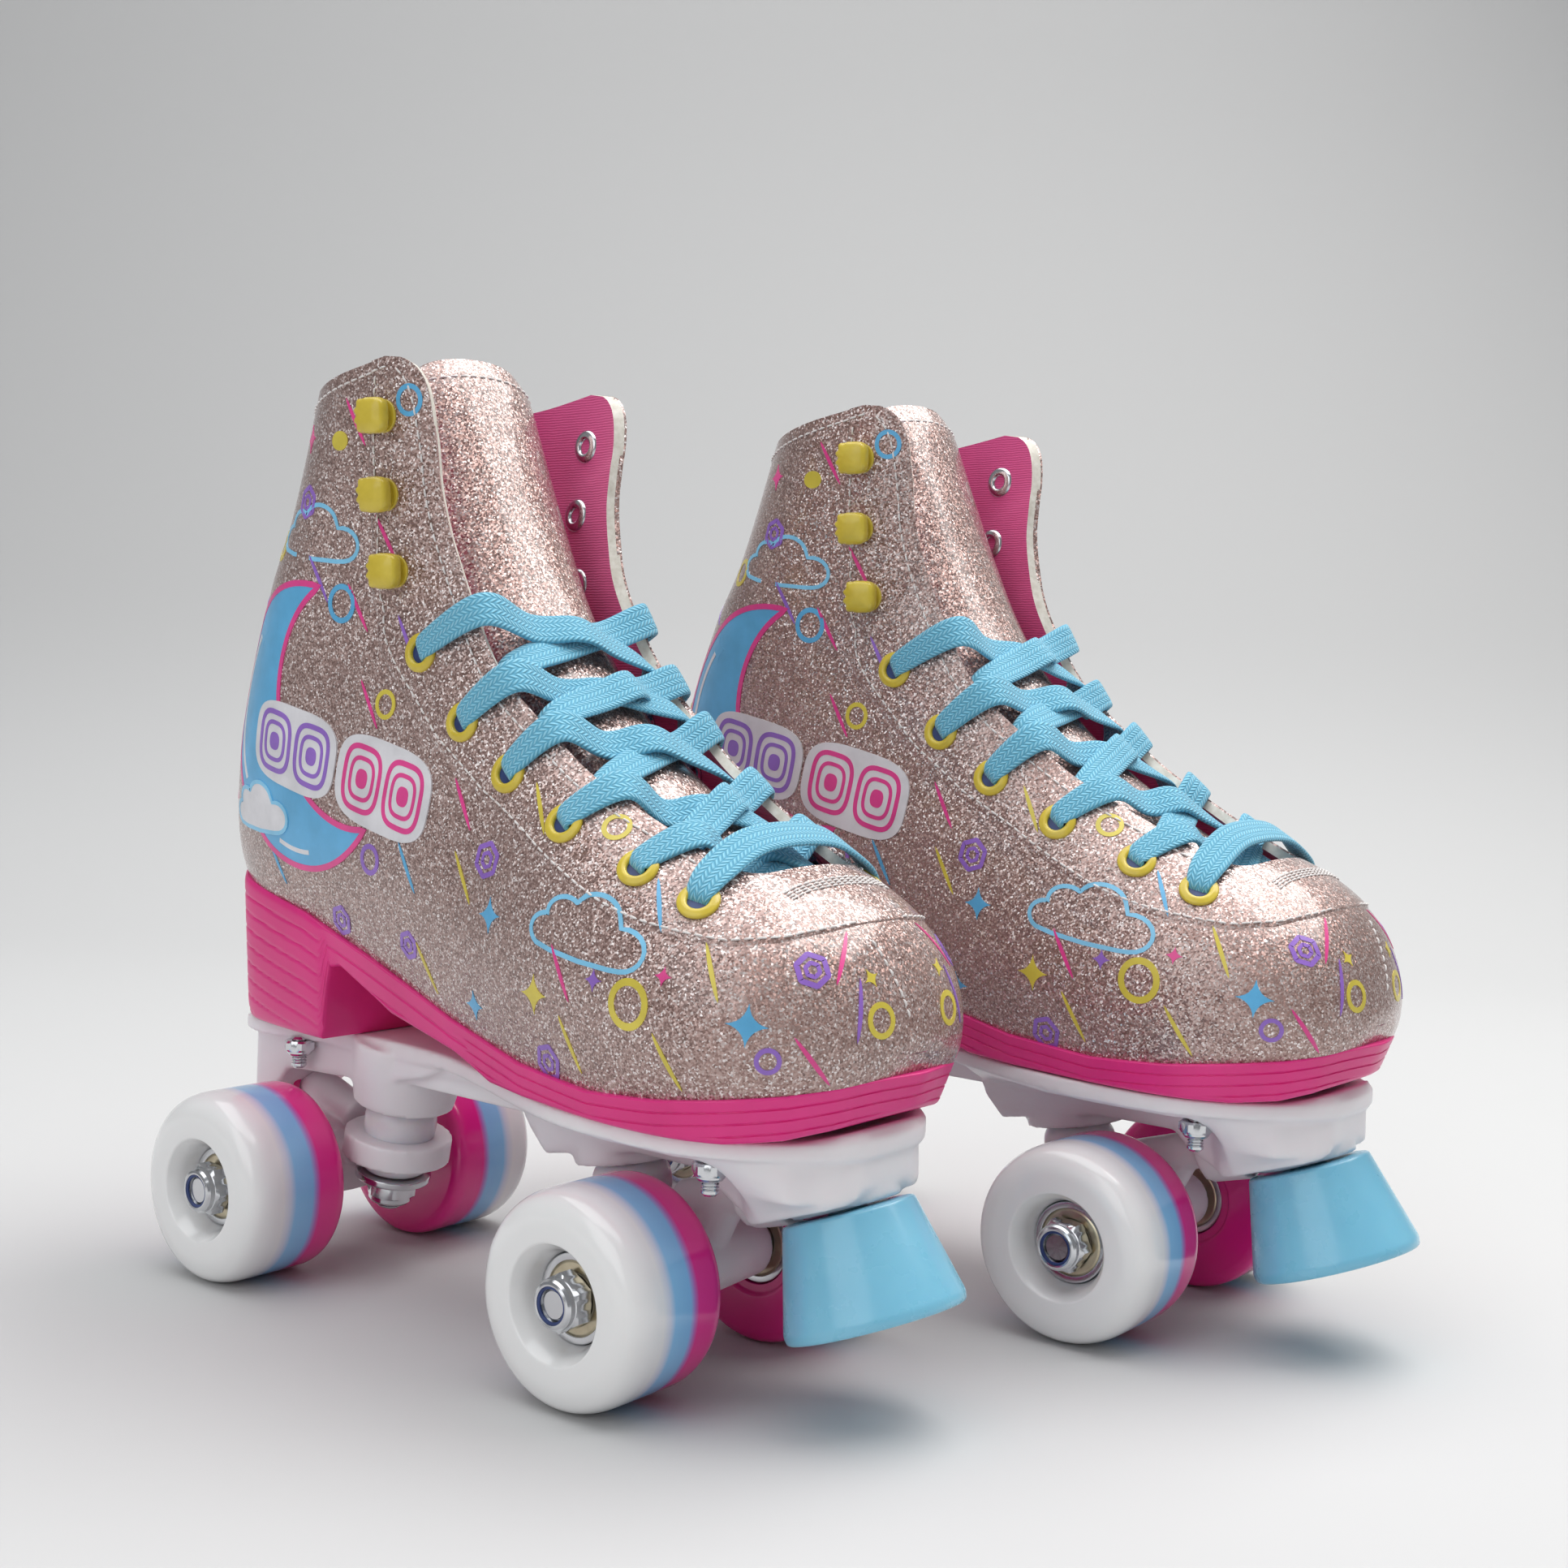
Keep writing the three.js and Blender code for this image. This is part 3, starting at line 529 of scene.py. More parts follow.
BRAKE = material("brake_rubber", (0.21, 0.55, 0.74), 0.27, (30.0, (0.18, 0.51, 0.70), (0.235, 0.585, 0.765)),
                 (90.0, 0.22, 0.34), (500.0, 0.0001, 0.2), Coat_Weight=0.35, Coat_Roughness=0.15,
                 Subsurface_Weight=0.1, Subsurface_Scale=0.004)
CHROME = material("zinc", (0.66, 0.67, 0.69), 0.16, gloss=(300.0, 0.1, 0.26), metal=1.0)
SHIELD = material("shield", (0.60, 0.52, 0.36), 0.28, (200.0, (0.50, 0.43, 0.30), (0.66, 0.59, 0.43)),
                  metal=1.0)
# Dark navy: the real nylon rings of the lock nuts, and the painted shade in the eyelet holes.
INSERT_AND_HOLE_SHADE = material("nut_insert_and_hole_shade", (0.02, 0.045, 0.16), 0.4, (400.0, (0.015, 0.03, 0.12), (0.03, 0.06, 0.2)))
YELLOW = material("yellow_paint", (0.66, 0.50, 0.045), 0.3, (150.0, (0.60, 0.45, 0.035), (0.72, 0.56, 0.06)),
                  (250.0, 0.24, 0.4), Coat_Weight=0.3, Coat_Roughness=0.15)
INSOLE = material("insole", (0.72, 0.10, 0.33), 0.85, (700.0, (0.6, 0.06, 0.25), (0.8, 0.16, 0.42)),
                  Sheen_Weight=0.3)
INK = {name: print_ink(f"ink_{name}", color) for name, color in {
    "pink": (0.75, 0.045, 0.27), "blue": (0.10, 0.42, 0.72),
    "sky": (0.22, 0.58, 0.84),
    "violet": (0.28, 0.13, 0.55), "yellow": (0.66, 0.54, 0.06), "white": (0.72, 0.71, 0.74)}.items()}

# ---- Boot form, as in the CAD model ---------------------------------------------------------
# Sections from the toe, under the arch, round the heel and up to the collar: bottom (or back) x
# and z, top (or front) x and z, widest half width, bottom half width, sideways shift.
SECTIONS = np.array([
    (135.8, 87.5, 137.0, 93, 6, 5, 1),
    (134.5, 84.5, 136.5, 96, 13, 10, 1), (131, 83, 133.5, 107, 24.5, 21, 0.5),
    (124, 81.5, 126, 119, 34, 30.5, -0.5), (112, 80, 113, 128, 42, 39, -1.5),
    (95, 78, 95, 136, 46, 43.5, -1.5), (73, 76.5, 75, 148, 46, 43, -1.5),
    (44, 78, 54, 166, 43.5, 38, -1), (12, 84, 43, 184, 40, 33, 0), (-22, 94.5, 36, 199, 38, 30, 0),
    (-55, 104.5, 31, 210, 36.5, 28.5, 0), (-85, 110, 28, 218, 36, 24, 0),
    (-105, 113.5, 27, 224, 36, 9, 0), (-109, 130, 26, 230, 36.5, 3, 0),
    (-103, 160, 25, 238, 37, 3, 0), (-92.5, 187, 24, 246, 38, 3, 0), (-81, 208, 23, 251, 39, 3, 0),
    (-66, 247, 21, 263, 40, 3, 0)], float)
TOE, COLLAR = -1.0, 16.0
THROAT = [
    (-21, 300), (-21, 256), (-13, 257), (-6, 256.2), (-1, 252), (1.2, 245), (1.6, 233), (1.6, 223), (6, 206),
    (12, 193.6), (20, 180.4),
    (28, 171.6), (46, 158), (57, 150.3), (80, 138.8), (92, 133.3), (101, 129.8), (106, 130.5),
    (108, 138), (108, 300)]
ROWS = [(9.45, 0.68, 0.785), (8, 0.65, 0.775), (6.95, 0.67, 0.81),
        (5.8, 0.73, 0.86), (4.77, 0.79, 0.9), (3.88, 0.81, 0.93)]
HOOKS = [(15.32, 0.633), (13.58, 0.676), (11.95, 0.717)]
SEAM = np.array([
    (2.1, 1.0), (2.25, 0.93), (2.65, 0.81), (3.25, 0.71), (4.45, 0.64), (5.1, 0.615), (6.3, 0.6),
    (7.25, 0.565), (8.25, 0.56), (9.2, 0.59), (11.3, 0.66), (13.1, 0.64), (14.9, 0.59), (16, 0.55)])


def section(u):
    """The boot's section at u, between the rows of SECTIONS."""
    k = u + 1
    i = int(min(max(math.floor(k), 0), len(SECTIONS) - 2))
    before = SECTIONS[i - 1] if i > 0 else 2 * SECTIONS[0] - SECTIONS[1]
    last = len(SECTIONS) - 1
    after = SECTIONS[i + 2] if i + 2 <= last else 2 * SECTIONS[last] - SECTIONS[last - 1]
    return catmull(before, SECTIONS[i], SECTIONS[i + 1], after, k - i)


def half_width(u, p, wide, foot):
    """Half width of the boot at share p of section u."""
    s = min(max((u - 6) / 6, 0), 1)
    s = s * s * (3 - 2 * s)
    belly, crown = 0.3 + 0.15 * s, 2.2 + 0.9 * s
    rise = np.clip((p - belly) / (1 - belly), 0, 1)
    top = wide * (1 - rise ** crown) ** (1 / crown)
    share = foot / wide
    t = np.clip(p / belly, 0, 1)
    low = wide * (share + (1 - share) * (share * np.sin(np.pi / 2 * t)
                                         + (1 - share) * np.sqrt(1 - (1 - t) ** 2)))
    return np.where(p >= belly, top, low)


def on_boot(u, p, side, inset=0.0):
    """Points on the boot: p from the bottom (or back) to the top (or front) of section u."""
    bx, bz, tx, tz, wide, foot, shift = section(u)
    p = np.asarray(p, float)
    length = math.hypot(tx - bx, tz - bz)
    q = (inset + p * (length - 2 * inset)) / length
    y = half_width(u, p, wide - inset, max(1.0, foot - inset))
    return np.stack([bx + q * (tx - bx), shift + side * y, bz + q * (tz - bz)], axis=-1)


def smoothed(points, rounds=3):
    p = np.asarray(points, float)
    for _ in range(rounds):
        a, b = p[:-1] * 0.75 + p[1:] * 0.25, p[:-1] * 0.25 + p[1:] * 0.75
        p = np.vstack([p[:1], np.stack([a, b], 1).reshape(-1, p.shape[1]), p[-1:]])
    return p


THROAT_LINE = smoothed(THROAT)


def throat_edge(u):
    """Share of section u at which the throat cuts it, or 1."""
    bx, bz, tx, tz = section(u)[:4]
    a, d = np.array([bx, bz]), np.array([tx - bx, tz - bz])
    p, q = THROAT_LINE[:-1], THROAT_LINE[1:]
    e = q - p
    cross = d[0] * e[:, 1] - d[1] * e[:, 0]
    cross = np.where(np.abs(cross) < 1e-9, 1e-9, cross)
    t = ((p[:, 0] - a[0]) * e[:, 1] - (p[:, 1] - a[1]) * e[:, 0]) / cross
    s = ((p[:, 0] - a[0]) * d[1] - (p[:, 1] - a[1]) * d[0]) / cross
    hits = t[(s >= 0) & (s <= 1) & (t > 0.3) & (t < 1)]
    return float(hits.min()) if len(hits) else 1.0


def throat_end():
    """Section at which the throat begins, counted from the toe."""
    low, high = 2.5, 4.5
    for _ in range(30):
        mid = (low + high) / 2
        low, high = (mid, high) if throat_edge(mid) >= 1 else (low, mid)
    return high


THROAT_END = throat_end()


def seam_at(u):
    """Share at which the facing's seam runs."""
    return float(np.interp(u, SEAM[:, 0], SEAM[:, 1]))


def boot_rows(first):
    """Sections to build, closer together where the throat and the seam begin."""
    ease = np.linspace(0, 1, 14) ** 2
    rows = [np.linspace(first, COLLAR, 190), THROAT_END + 0.5 * ease, SEAM[0, 0] + 0.3 * ease]
    rows = np.unique(np.round(np.concatenate(rows), 4))
    return rows[rows >= first - 1e-9]


def spread(u, low, high, count):
    """Shares p between low and high that lie evenly along the section's outline."""
    fine = low + (high - low) * (1 - np.cos(np.linspace(0, np.pi, 90))) / 2
    points = on_boot(u, fine, 1)
    along = lengths(points)
    return np.interp(np.linspace(0, along[-1], count), along, fine)


def boot_sheet(inset, rows):
    """Rows of points from one flap edge, under the foot, to the other."""
    sheet = []
    for u in rows:
        p = spread(u, 0.0, throat_edge(u), 44)
        left, right = on_boot(u, p, -1, inset), on_boot(u, p, 1, inset)
        middle = (left[:1] + right[:1]) / 2
        sheet.append(np.vstack([left[::-1], middle, right]))
    return np.array(sheet)


def boot():
    """The shell: outside, lining inside, cut edge along flaps and collar."""
    rows = boot_rows(TOE)
    outer, inner = boot_sheet(0, rows), boot_sheet(WALL, rows)
    wave = 0.22 * np.sin(outer[..., 0] / 17 + outer[..., 2] / 23) * np.sin(outer[..., 2] / 19)
    outer[..., 1] += wave * np.sign(outer[..., 1])
    count, cols = outer.shape[:2]
    start = count * cols
    outside, lining, edge = double_faces(count, cols, lambda i, j: throat_edge(rows[i + 1]) < 1, [count - 1])
    toe = [tuple(range(cols))[::-1], tuple(range(start, start + cols))]
    mats = [0] * len(outside) + [1] * len(lining) + [2] * len(edge) + [0, 1]
    verts = np.vstack([outer.reshape(-1, 3), inner.reshape(-1, 3)])
    return outward(welded(Shape(verts, outside + lining + edge + toe, mats)))


PANEL = 0.55                     # how far the facing stands proud of the quarter
PANEL_LIP = 0.35                 # share by which its edge at the seam is pressed down


def facing(side):
    """The panel laid over the front of the boot, from the seam to the flap edge."""
    rows, cols, top, under = boot_rows(SEAM[0, 0]), 30, [], []
    for u in rows:
        high = throat_edge(u)
        p = spread(u, min(seam_at(u), high - 1e-3), high, cols)
        top.append(on_boot(u, p, side, -PANEL))
        under.append(on_boot(u, p, side, 0.8))
        top[-1][0] = top[-1][0] * (1 - PANEL_LIP) + under[-1][0] * PANEL_LIP
    verts = np.vstack([np.array(top).reshape(-1, 3), np.array(under).reshape(-1, 3)])
    faces = double_faces(len(rows), cols, lambda i, j: not j or throat_edge(rows[i + 1]) < 1)
    return Shape(verts, sum(faces, []))


def stay_half(u, at_collar):
    """Half a width at the back that grows from the collar down to the heel."""
    return at_collar + 3.0 * (COLLAR - u) / 4


def backstay():
    """The strip over the seam at the back, from the collar to the heel."""
    rings, across = [], np.linspace(-1, 1, 15)
    for u in np.linspace(12.1, 15.9, 60):
        half, ring = stay_half(u, 5.6), []
        for lift, order in ((-0.5, 1), (0.7, -1)):
            points = [on_boot(u, spot_at(u, half * abs(t)), math.copysign(1, t), lift) for t in across]
            points[7] = (on_boot(u, 0.0, 1, lift) + on_boot(u, 0.0, -1, lift)) / 2
            ring += points[::order]
        rings.append(ring)
    return skinned(rings)


def spot_at(u, distance):
    """Share p whose place is this far round the section from its back."""
    fine = np.linspace(0, 0.5, 120) ** 1.6
    points = on_boot(u, fine, 1)
    along = lengths(points)
    return float(np.interp(distance, along, fine))


boot_shape = boot()
facing_shape = outward(welded(together(facing(-1), facing(1))))
make("boot", boot_shape, "skate", [GLITTER, LINING, EDGE], "upper", crisp=50)
make("facing", facing_shape, "skate", [GLITTER], crisp=50)
backstay_shape = backstay()
make("backstay", backstay_shape, "skate", [GLITTER], crisp=50)
skin = together(boot_shape, facing_shape, backstay_shape)
SKIN = BVHTree.FromPolygons(skin.verts.tolist(), skin.faces)


def skin_frame(u, p, side):
    """A point on the boot with its outward normal, and the directions to the toe and up."""
    here = on_boot(u, p, side)
    along_p = on_boot(u, min(p + 0.01, 0.995), side) - on_boot(u, max(p - 0.01, 0.005), side)
    along_u = on_boot(min(u + 0.05, COLLAR), p, side) - on_boot(max(u - 0.05, TOE), p, side)
    out = np.cross(along_p, along_u)
    out = unit(out)
    if out[1] * side < 0:
        out = -out
    toe = np.array([1.0, 0, 0]) - out[0] * out
    toe = unit(toe)
    up = np.cross(out, toe)
    if up[2] < 0:
        up = -up
    return here, out, toe, up


def on_skin(here, out, lift):
    """Drops a point along a direction on to the boot, and lifts it off by lift."""
    hit, normal, _, _ = SKIN.ray_cast(Vector(here + out * 25), Vector(-out), 60)
    if hit is None:
        return np.array(here) + out * lift
    normal = np.array(normal)
    if normal @ out < 0:
        normal = -normal
    return np.array(hit) + normal * lift


# ---- Stitches -------------------------------------------------------------------------------
def stitch(start, end, out):
    """One thread between two holes, lying on the surface and dipping in at its ends."""
    thick, rise = 0.3, 0.22
    along = end - start
    across = np.cross(unit(along), out)
    rings = []
    for t, size, lift in ((0, 0.45, -0.25), (0.15, 0.9, 0.6), (0.5, 1, 1), (0.85, 0.9, 0.6),
                          (1, 0.45, -0.25)):
        centre = start + along * t + out * rise * lift
        rings.append([centre + (across * math.cos(a) + out * math.sin(a)) * thick * size
                      for a in np.arange(6) * math.pi / 3])
    return skinned(rings)


def stitched(line, pitch=3.0, length=2.25, first=0.4, drop=True):
    """Stitches along a line of points with outward directions, dropped on to the boot or not."""
    points, outs = np.array([p for p, _ in line]), np.array([o for _, o in line])
    along = lengths(points)

    def between(spot, values):
        return np.array([np.interp(spot, along, values[:, k]) for k in range(3)])

    shapes, at = [], first
    while at + length < along[-1]:
        out = unit(between(at, outs))
        ends = [between(spot, points) for spot in (at, at + length)]
        if drop:
            ends = [on_skin(end, out, 0.05) for end in ends]
        shapes.append(stitch(*ends, out))
        at += pitch
    return shapes


def line_at(us, share, side):
    """Points and outward directions along a line on the boot: share gives p for each u."""
    return [skin_frame(u, share(u), side)[:2] for u in us]


def inside_edge(u, inset):
    """Share p that lies inset millimetres behind the flap edge."""
    high = throat_edge(u)
    step = np.linalg.norm(on_boot(u, high, 1) - on_boot(u, high - 0.02, 1)) / 0.02
    return max(high - inset / step, 0.05)


def all_stitches():
    """The rows of stitches on the flaps, seams, collar, backstay and toe."""
    shapes = []
    for side in (-1, 1):
        edge = np.linspace(THROAT_END + 0.22, 15.84, 150)
        shapes += stitched(line_at(edge, lambda u: inside_edge(u, 5.0), side))
        seam = np.linspace(SEAM[0, 0] + 0.08, 15.84, 150)
        shapes += stitched(line_at(seam, lambda u: min(seam_at(u) + 0.022, 0.99), side))
        collar = [skin_frame(15.88, p, side)[:2] for p in np.linspace(0.02, inside_edge(15.88, 5.0), 60)]
        shapes += stitched(collar)
    for side in (-1, 1):
        shapes += stitched(line_at(np.linspace(12.2, 15.86, 60), lambda u: spot_at(u, stay_half(u, 4.2)),
                                   side))
    shapes += stitched(line_at(np.linspace(1.85, 0.15, 30), lambda u: 0.985, -1), 2.6, 1.9)
    for row in range(4):                              # bar tack at the end of the throat
        tack = [skin_frame(2.98 + 0.05 * row, p, s)[:2] for p, s in ((0.94, -1), (0.97, -1), (0.97, 1),
                (0.94, 1))]
        shapes += stitched(tack, 2.4, 2.0)
    return together(*shapes)


make("stitches", all_stitches(), "skate", [THREAD], crisp=80)

# ---- Tongue ---------------------------------------------------------------------------------
TONGUE = np.array([
    (-20, 262, 21, 8), (-15, 254, 25, 15), (-6, 234, 27, 20), (2, 216, 27, 20), (12, 197, 25.5, 19),
    (24, 180, 23.5, 16), (41, 163, 21, 13), (59, 150, 18, 10), (80, 137, 15, 8), (104, 125.5, 12, 5)],
    float)


def tongue():
    """The padded tongue, and the points of its upper face."""
    line = curve_through(TONGUE, 110)
    across = np.linspace(-1, 1, 33)
    outer, inner = [], []
    length = lengths(line[:, :2])
    for i, (x, z, wide, arch) in enumerate(line):
        a, b = line[max(i - 1, 0)], line[min(i + 1, len(line) - 1)]
        inward = np.array([b[1] - a[1], 0, a[0] - b[0]])
        inward = unit(inward)
        corner = min(1.0, (length[i] + 0.2) / 13.0)
        wide *= 0.8 + 0.2 * (1 - (1 - corner) ** 2.6) ** (1 / 2.6)
        puff = 0.5 * (1 - np.abs(across) ** 4) * min(1, length[i] / 8)
        angle = across * math.pi / 2 * 0.9
        thin = TONGUE_THICKNESS * np.sqrt(np.clip(1 - np.abs(across) ** 7, 0.03, 1)) * min(1,
                0.45 + length[i] / 5)
        for k, t in enumerate(across):
            base = np.array([x, wide * math.sin(angle[k]), z]) + inward * arch * (1 - math.cos(angle[k]))
            middle = np.array([x, 0, z]) + inward * arch * 0.6
            out = base - middle
            out[0], out[2] = (-inward * max(0.15, math.cos(angle[k])))[[0, 2]]
            out[1] = math.sin(angle[k])
            out = unit(out)
            outer.append(base + out * (puff[k] - 0.6))
            inner.append(base + out * (puff[k] - 0.6 - thin[k]))
    rows, cols = len(line), len(across)
    top, under, edge = double_faces(rows, cols)
    mats = [0] * len(top) + [1] * len(under) + [0] * len(edge)
    shape = outward(Shape(np.array(outer + inner), top + under + edge, mats))
    return shape, np.array(outer).reshape(rows, cols, 3)


tongue_shape, tongue_top = tongue()
tongues = make("padded_tongue", tongue_shape, "skate", [GLITTER, LINING], "tongue", crisp=60)


def tongue_stitches():
    """A row of stitches inside the tongue's top edge and down its sides."""
    rows, cols = tongue_top.shape[:2]
    path = [(i, 3) for i in range(40, 5, -1)] + [(4, j) for j in range(4, cols - 4)] \
        + [(i, cols - 4) for i in range(6, 41)]
    points = []
    for i, j in path:
        du = tongue_top[min(i + 1, rows - 1), j] - tongue_top[i - 1, j]
        dv = tongue_top[i, min(j + 1, cols - 1)] - tongue_top[i, j - 1]
        out = np.cross(dv, du)
        out = unit(out)
        if out[0] < 0:
            out = -out
        points.append((tongue_top[i, j], out))
    return together(*stitched(points, 3.1, 2.2, 0.0, drop=False))


make("tongue_stitches", tongue_stitches(), "skate", [THREAD], crisp=80)

# ---- Lace -----------------------------------------------------------------------------------
LACE_WIDTH = 9.5
LACE_THICKNESS = 1.7
LACE_LIFT = 1.7
LACE_SINK = WALL + 2.3
LACE_CLEAR = 2.4
LACE_NARROW = 0.55
LACE_DROP = 0.38                  # how far towards the next row a lace has dropped at the flap edge


def over_tongue(point, height):
    """The place over the tongue nearest to a point, at this height."""
    best = None
    for low, high in zip(TONGUE[:-1], TONGUE[1:]):
        a, d = low[:2], high[:2] - low[:2]
        share = min(max(float((np.array([point[0], point[2]]) - a) @ d / (d @ d)), 0), 1)
        place = a + d * share
        gap = math.hypot(place[0] - point[0], place[1] - point[2])
        if best and gap >= best[0]:
            continue
        along = d / np.linalg.norm(d)
        wide, arch = low[2:] + (high[2:] - low[2:]) * share
        lean = min(1.0, abs(point[1]) / wide)
        lift = height - arch * (1 - math.sqrt(1 - lean ** 2))
        best = (gap, np.array([place[0] - along[1] * lift, point[1], place[1] + along[0] * lift]))
    return best[1]


def outward_at(u, p, side):
    return skin_frame(u, p, side)[1]


def from_eyelet(u, p, side, lead):
    """Out of an eyelet: the lace faces back, then turns to lie on the boot towards lead."""
    hole = on_boot(u, p, side, 0)
    out = outward_at(u, p, side)
    back = hole - lead
    back -= (back @ out) * out
    back = unit(back)
    return [(on_boot(u, p, side, LACE_SINK), LACE_NARROW, back), (hole, LACE_NARROW, back),
            (on_boot(u, p + 0.012, side, -LACE_LIFT), 0.72, out * 0.8 + back * 0.4)]


def lace_pass(start, end, side, lift):
    """From an eyelet, over the tongue, to the eyelet opposite in the next row."""
    u, p, _ = ROWS[start]
    v, _, far = ROWS[end]
    w = u - LACE_DROP * (u - v)
    leave = on_boot(w, min(throat_edge(w) + 0.02, 0.99), side, -LACE_LIFT - 0.7)
    arrive = on_boot(v, min(far + 0.05, 0.98), -side, LACE_SINK)
    out, away = outward_at(w, min(throat_edge(w) - 0.01, 0.98), side), outward_at(v, far, -side)
    crown = np.array([-TONGUE[0, 0] + 45, 0, 62.0])
    crown = unit(crown)
    over = [(over_tongue(leave + (arrive - leave) * t, LACE_CLEAR + rise * lift), 1,
             crown + (out if t < 0.5 else away) * abs(t - 0.5) * 2.2)
            for t, rise in ((0.3, 0.4), (0.5, 1), (0.7, 0.4))]
    return from_eyelet(u, p, side, leave) + [(leave, 1, out + crown * 0.3), *over, (arrive, 1, away),
                                             (on_boot(v, far - 0.03, -side, LACE_SINK), 0.8, away)]


def lace_stops():
    """Both halves of the lace with the bars that join them: place, share of width, facing."""
    last, down, up = len(ROWS) - 1, [], []
    for row in range(last):
        side = 1 if row % 2 else -1
        down += lace_pass(row, row + 1, side, 3)
        up += lace_pass(row, row + 1, -side, 0)
    u, p, edge = ROWS[last]

    def bar(side):
        mid = on_boot(u, edge - 0.03, side, -LACE_LIFT - 1.2)
        return from_eyelet(u, p, side, mid) + [
            (mid, 1, outward_at(u, edge - 0.03, side)),
            (on_boot(u, 0.985, side, -LACE_LIFT - 2.4), 1, np.array([0.5, 0, 0.86]))]
    side = 1 if last % 2 else -1
    return down + bar(side) + bar(-side)[::-1] + up[::-1]


def lace():
    """The flat lace: its spline, with its width and the way that it faces at every step."""
    stops = lace_stops()
    line = curve_through([(*p, share, *(n / np.linalg.norm(n))) for p, share, n in stops], 1700)
    for _ in range(14):
        line[1:-1] = (line[:-2] + 2 * line[1:-1] + line[2:]) / 4
    spot = line[:, :3]
    travel = np.gradient(spot, axis=0)
    travel /= np.linalg.norm(travel, axis=1)[:, None]
    face = line[:, 4:7]
    across = np.cross(travel, face)
    across /= np.linalg.norm(across, axis=1)[:, None] + 1e-9
    for _ in range(6):
        across[1:-1] = (across[:-2] + 2 * across[1:-1] + across[2:]) / 4
    across -= (across * travel).sum(axis=1)[:, None] * travel
    across /= np.linalg.norm(across, axis=1)[:, None] + 1e-9
    out = np.cross(across, travel)
    length = lengths(spot)
    turns = np.linspace(0, 2 * np.pi, 24, endpoint=False)
    a = np.sign(np.cos(turns)) * np.abs(np.cos(turns)) ** 0.45
    b = np.sign(np.sin(turns)) * np.abs(np.sin(turns)) ** 0.7
    wide = line[:, 3] * LACE_WIDTH / 2
    rings = (spot[:, None] + across[:, None] * (wide[:, None] * a)[:, :, None]
             + out[:, None] * (LACE_THICKNESS / 2 * b)[None, :, None])
    uv = np.stack([np.repeat(length, len(a)), np.tile(LACE_WIDTH / 2 * a + 20, len(wide))], axis=1)
    return skinned(rings, uv=uv)


make("laces", lace(), "skate", [LACE], "lace", crisp=80)


# ---- Eyelets, hooks and rivets --------------------------------------------------------------
def set_in_boot(shape, u, p, side):
    """Stands a piece made along Z on the boot's panel."""
    here, out, _, _ = skin_frame(u, p, side)
    return shape.placed(turned_to(here + out * PANEL, out))


eyelet_profile = rounded([(2.75, -3.4), (2.75, 0.9, 0.5), (3.6, 1.35, 0.6), (5.25, 0.7, 0.5),
                          (5.25, -0.1, 0.1),
                          (3.3, -0.1, 0), (3.3, -3.4, 0)], 0.1)
ring_profile = rounded([(3.35, -3.3), (3.35, -4.4), (5.0, -4.25), (5.0, -3.5), (4.4, -3.2)], 0.2)
eyelet = turned(eyelet_profile, 40)
# A dark navy disc in each eyelet's hole: painted shade where the hole is dark.
hole_shade_disc = turned([(0, 0.12), (2.9, 0.05), (2.9, -0.3), (0, -0.3)], 32)
back_ring = turned(ring_profile, 40)
places = [(u, p, s) for u, p, _ in ROWS for s in (-1, 1)]
for name, shape, mat, slot in (
        ("eyelets", eyelet, YELLOW, "fastener_steel"), ("eyelet_hole_shade", hole_shade_disc, INSERT_AND_HOLE_SHADE, "glitter_upper"),
        ("eyelet_backs", back_ring, CHROME, "fastener_steel")):
    make(name, together(*[set_in_boot(shape, *w) for w in places]), "skate", [mat])


def hook():
    """A speed hook: base, neck and a square-shouldered head, fluted along one side."""
    base = turned(rounded([(0, -0.3), (4.4, -0.3), (4.4, 0.5), (0, 0.8)], 0.3), 36)
    neck = turned(rounded([(0, 0.2), (2.6, 0.2), (2.3, 3.4), (0, 3.4)], 0.2), 36)
    rings, turns = [], np.linspace(0, 2 * np.pi, 96, endpoint=False)
    c, s = np.cos(turns), np.sin(turns)
    square = (np.abs(c) ** 3.6 + np.abs(s) ** 3.6) ** (-1 / 3.6)
    fluted = np.clip(-c - 0.1, 0, 1) * np.cos(11 * turns)
    for r, h in rounded([(0.01, 2.6), (3.6, 2.7), (4.7, 2.3, 0.4), (4.85, 3.4, 0.6), (4.6, 5.2, 1.0),
                         (2.4, 5.9, 1),
                         (0.01, 6.0)], 0.4, closed=False):
        edge = r * (square + 0.11 * fluted * min(1, (r / 4.5) ** 2))
        rings.append(np.stack([edge * c - 0.8, edge * s * 0.98, h - 0.06 * r * c], axis=1))
    return together(base, neck, skinned(rings))


hook_shape = hook()
rivet = turned(rounded([(0, -3.3), (1.9, -3.3), (2.1, -3.9, 0.3), (2.6, -4.6, 0.6), (4.3, -4.3, 0.5),
                        (4.9, -3.6, 0.3),
                        (4.9, -2.9), (0, -2.9)], 0.2), 40)


def hook_places():
    for side in (-1, 1):
        for u, p in HOOKS:
            here, out, toe, _ = skin_frame(u, p, side)
            yield here + out * PANEL, out, toe


def set_hook(here, out, toe):
    return hook_shape.placed(frame_of(toe, np.cross(out, toe), out, here))


make("hooks", together(*[set_hook(*w) for w in hook_places()]), "skate", [YELLOW], crisp=50)
make("hook_rivets", together(*[rivet.placed(turned_to(here, out)) for here, out, _ in hook_places()]),
     "skate", [CHROME])

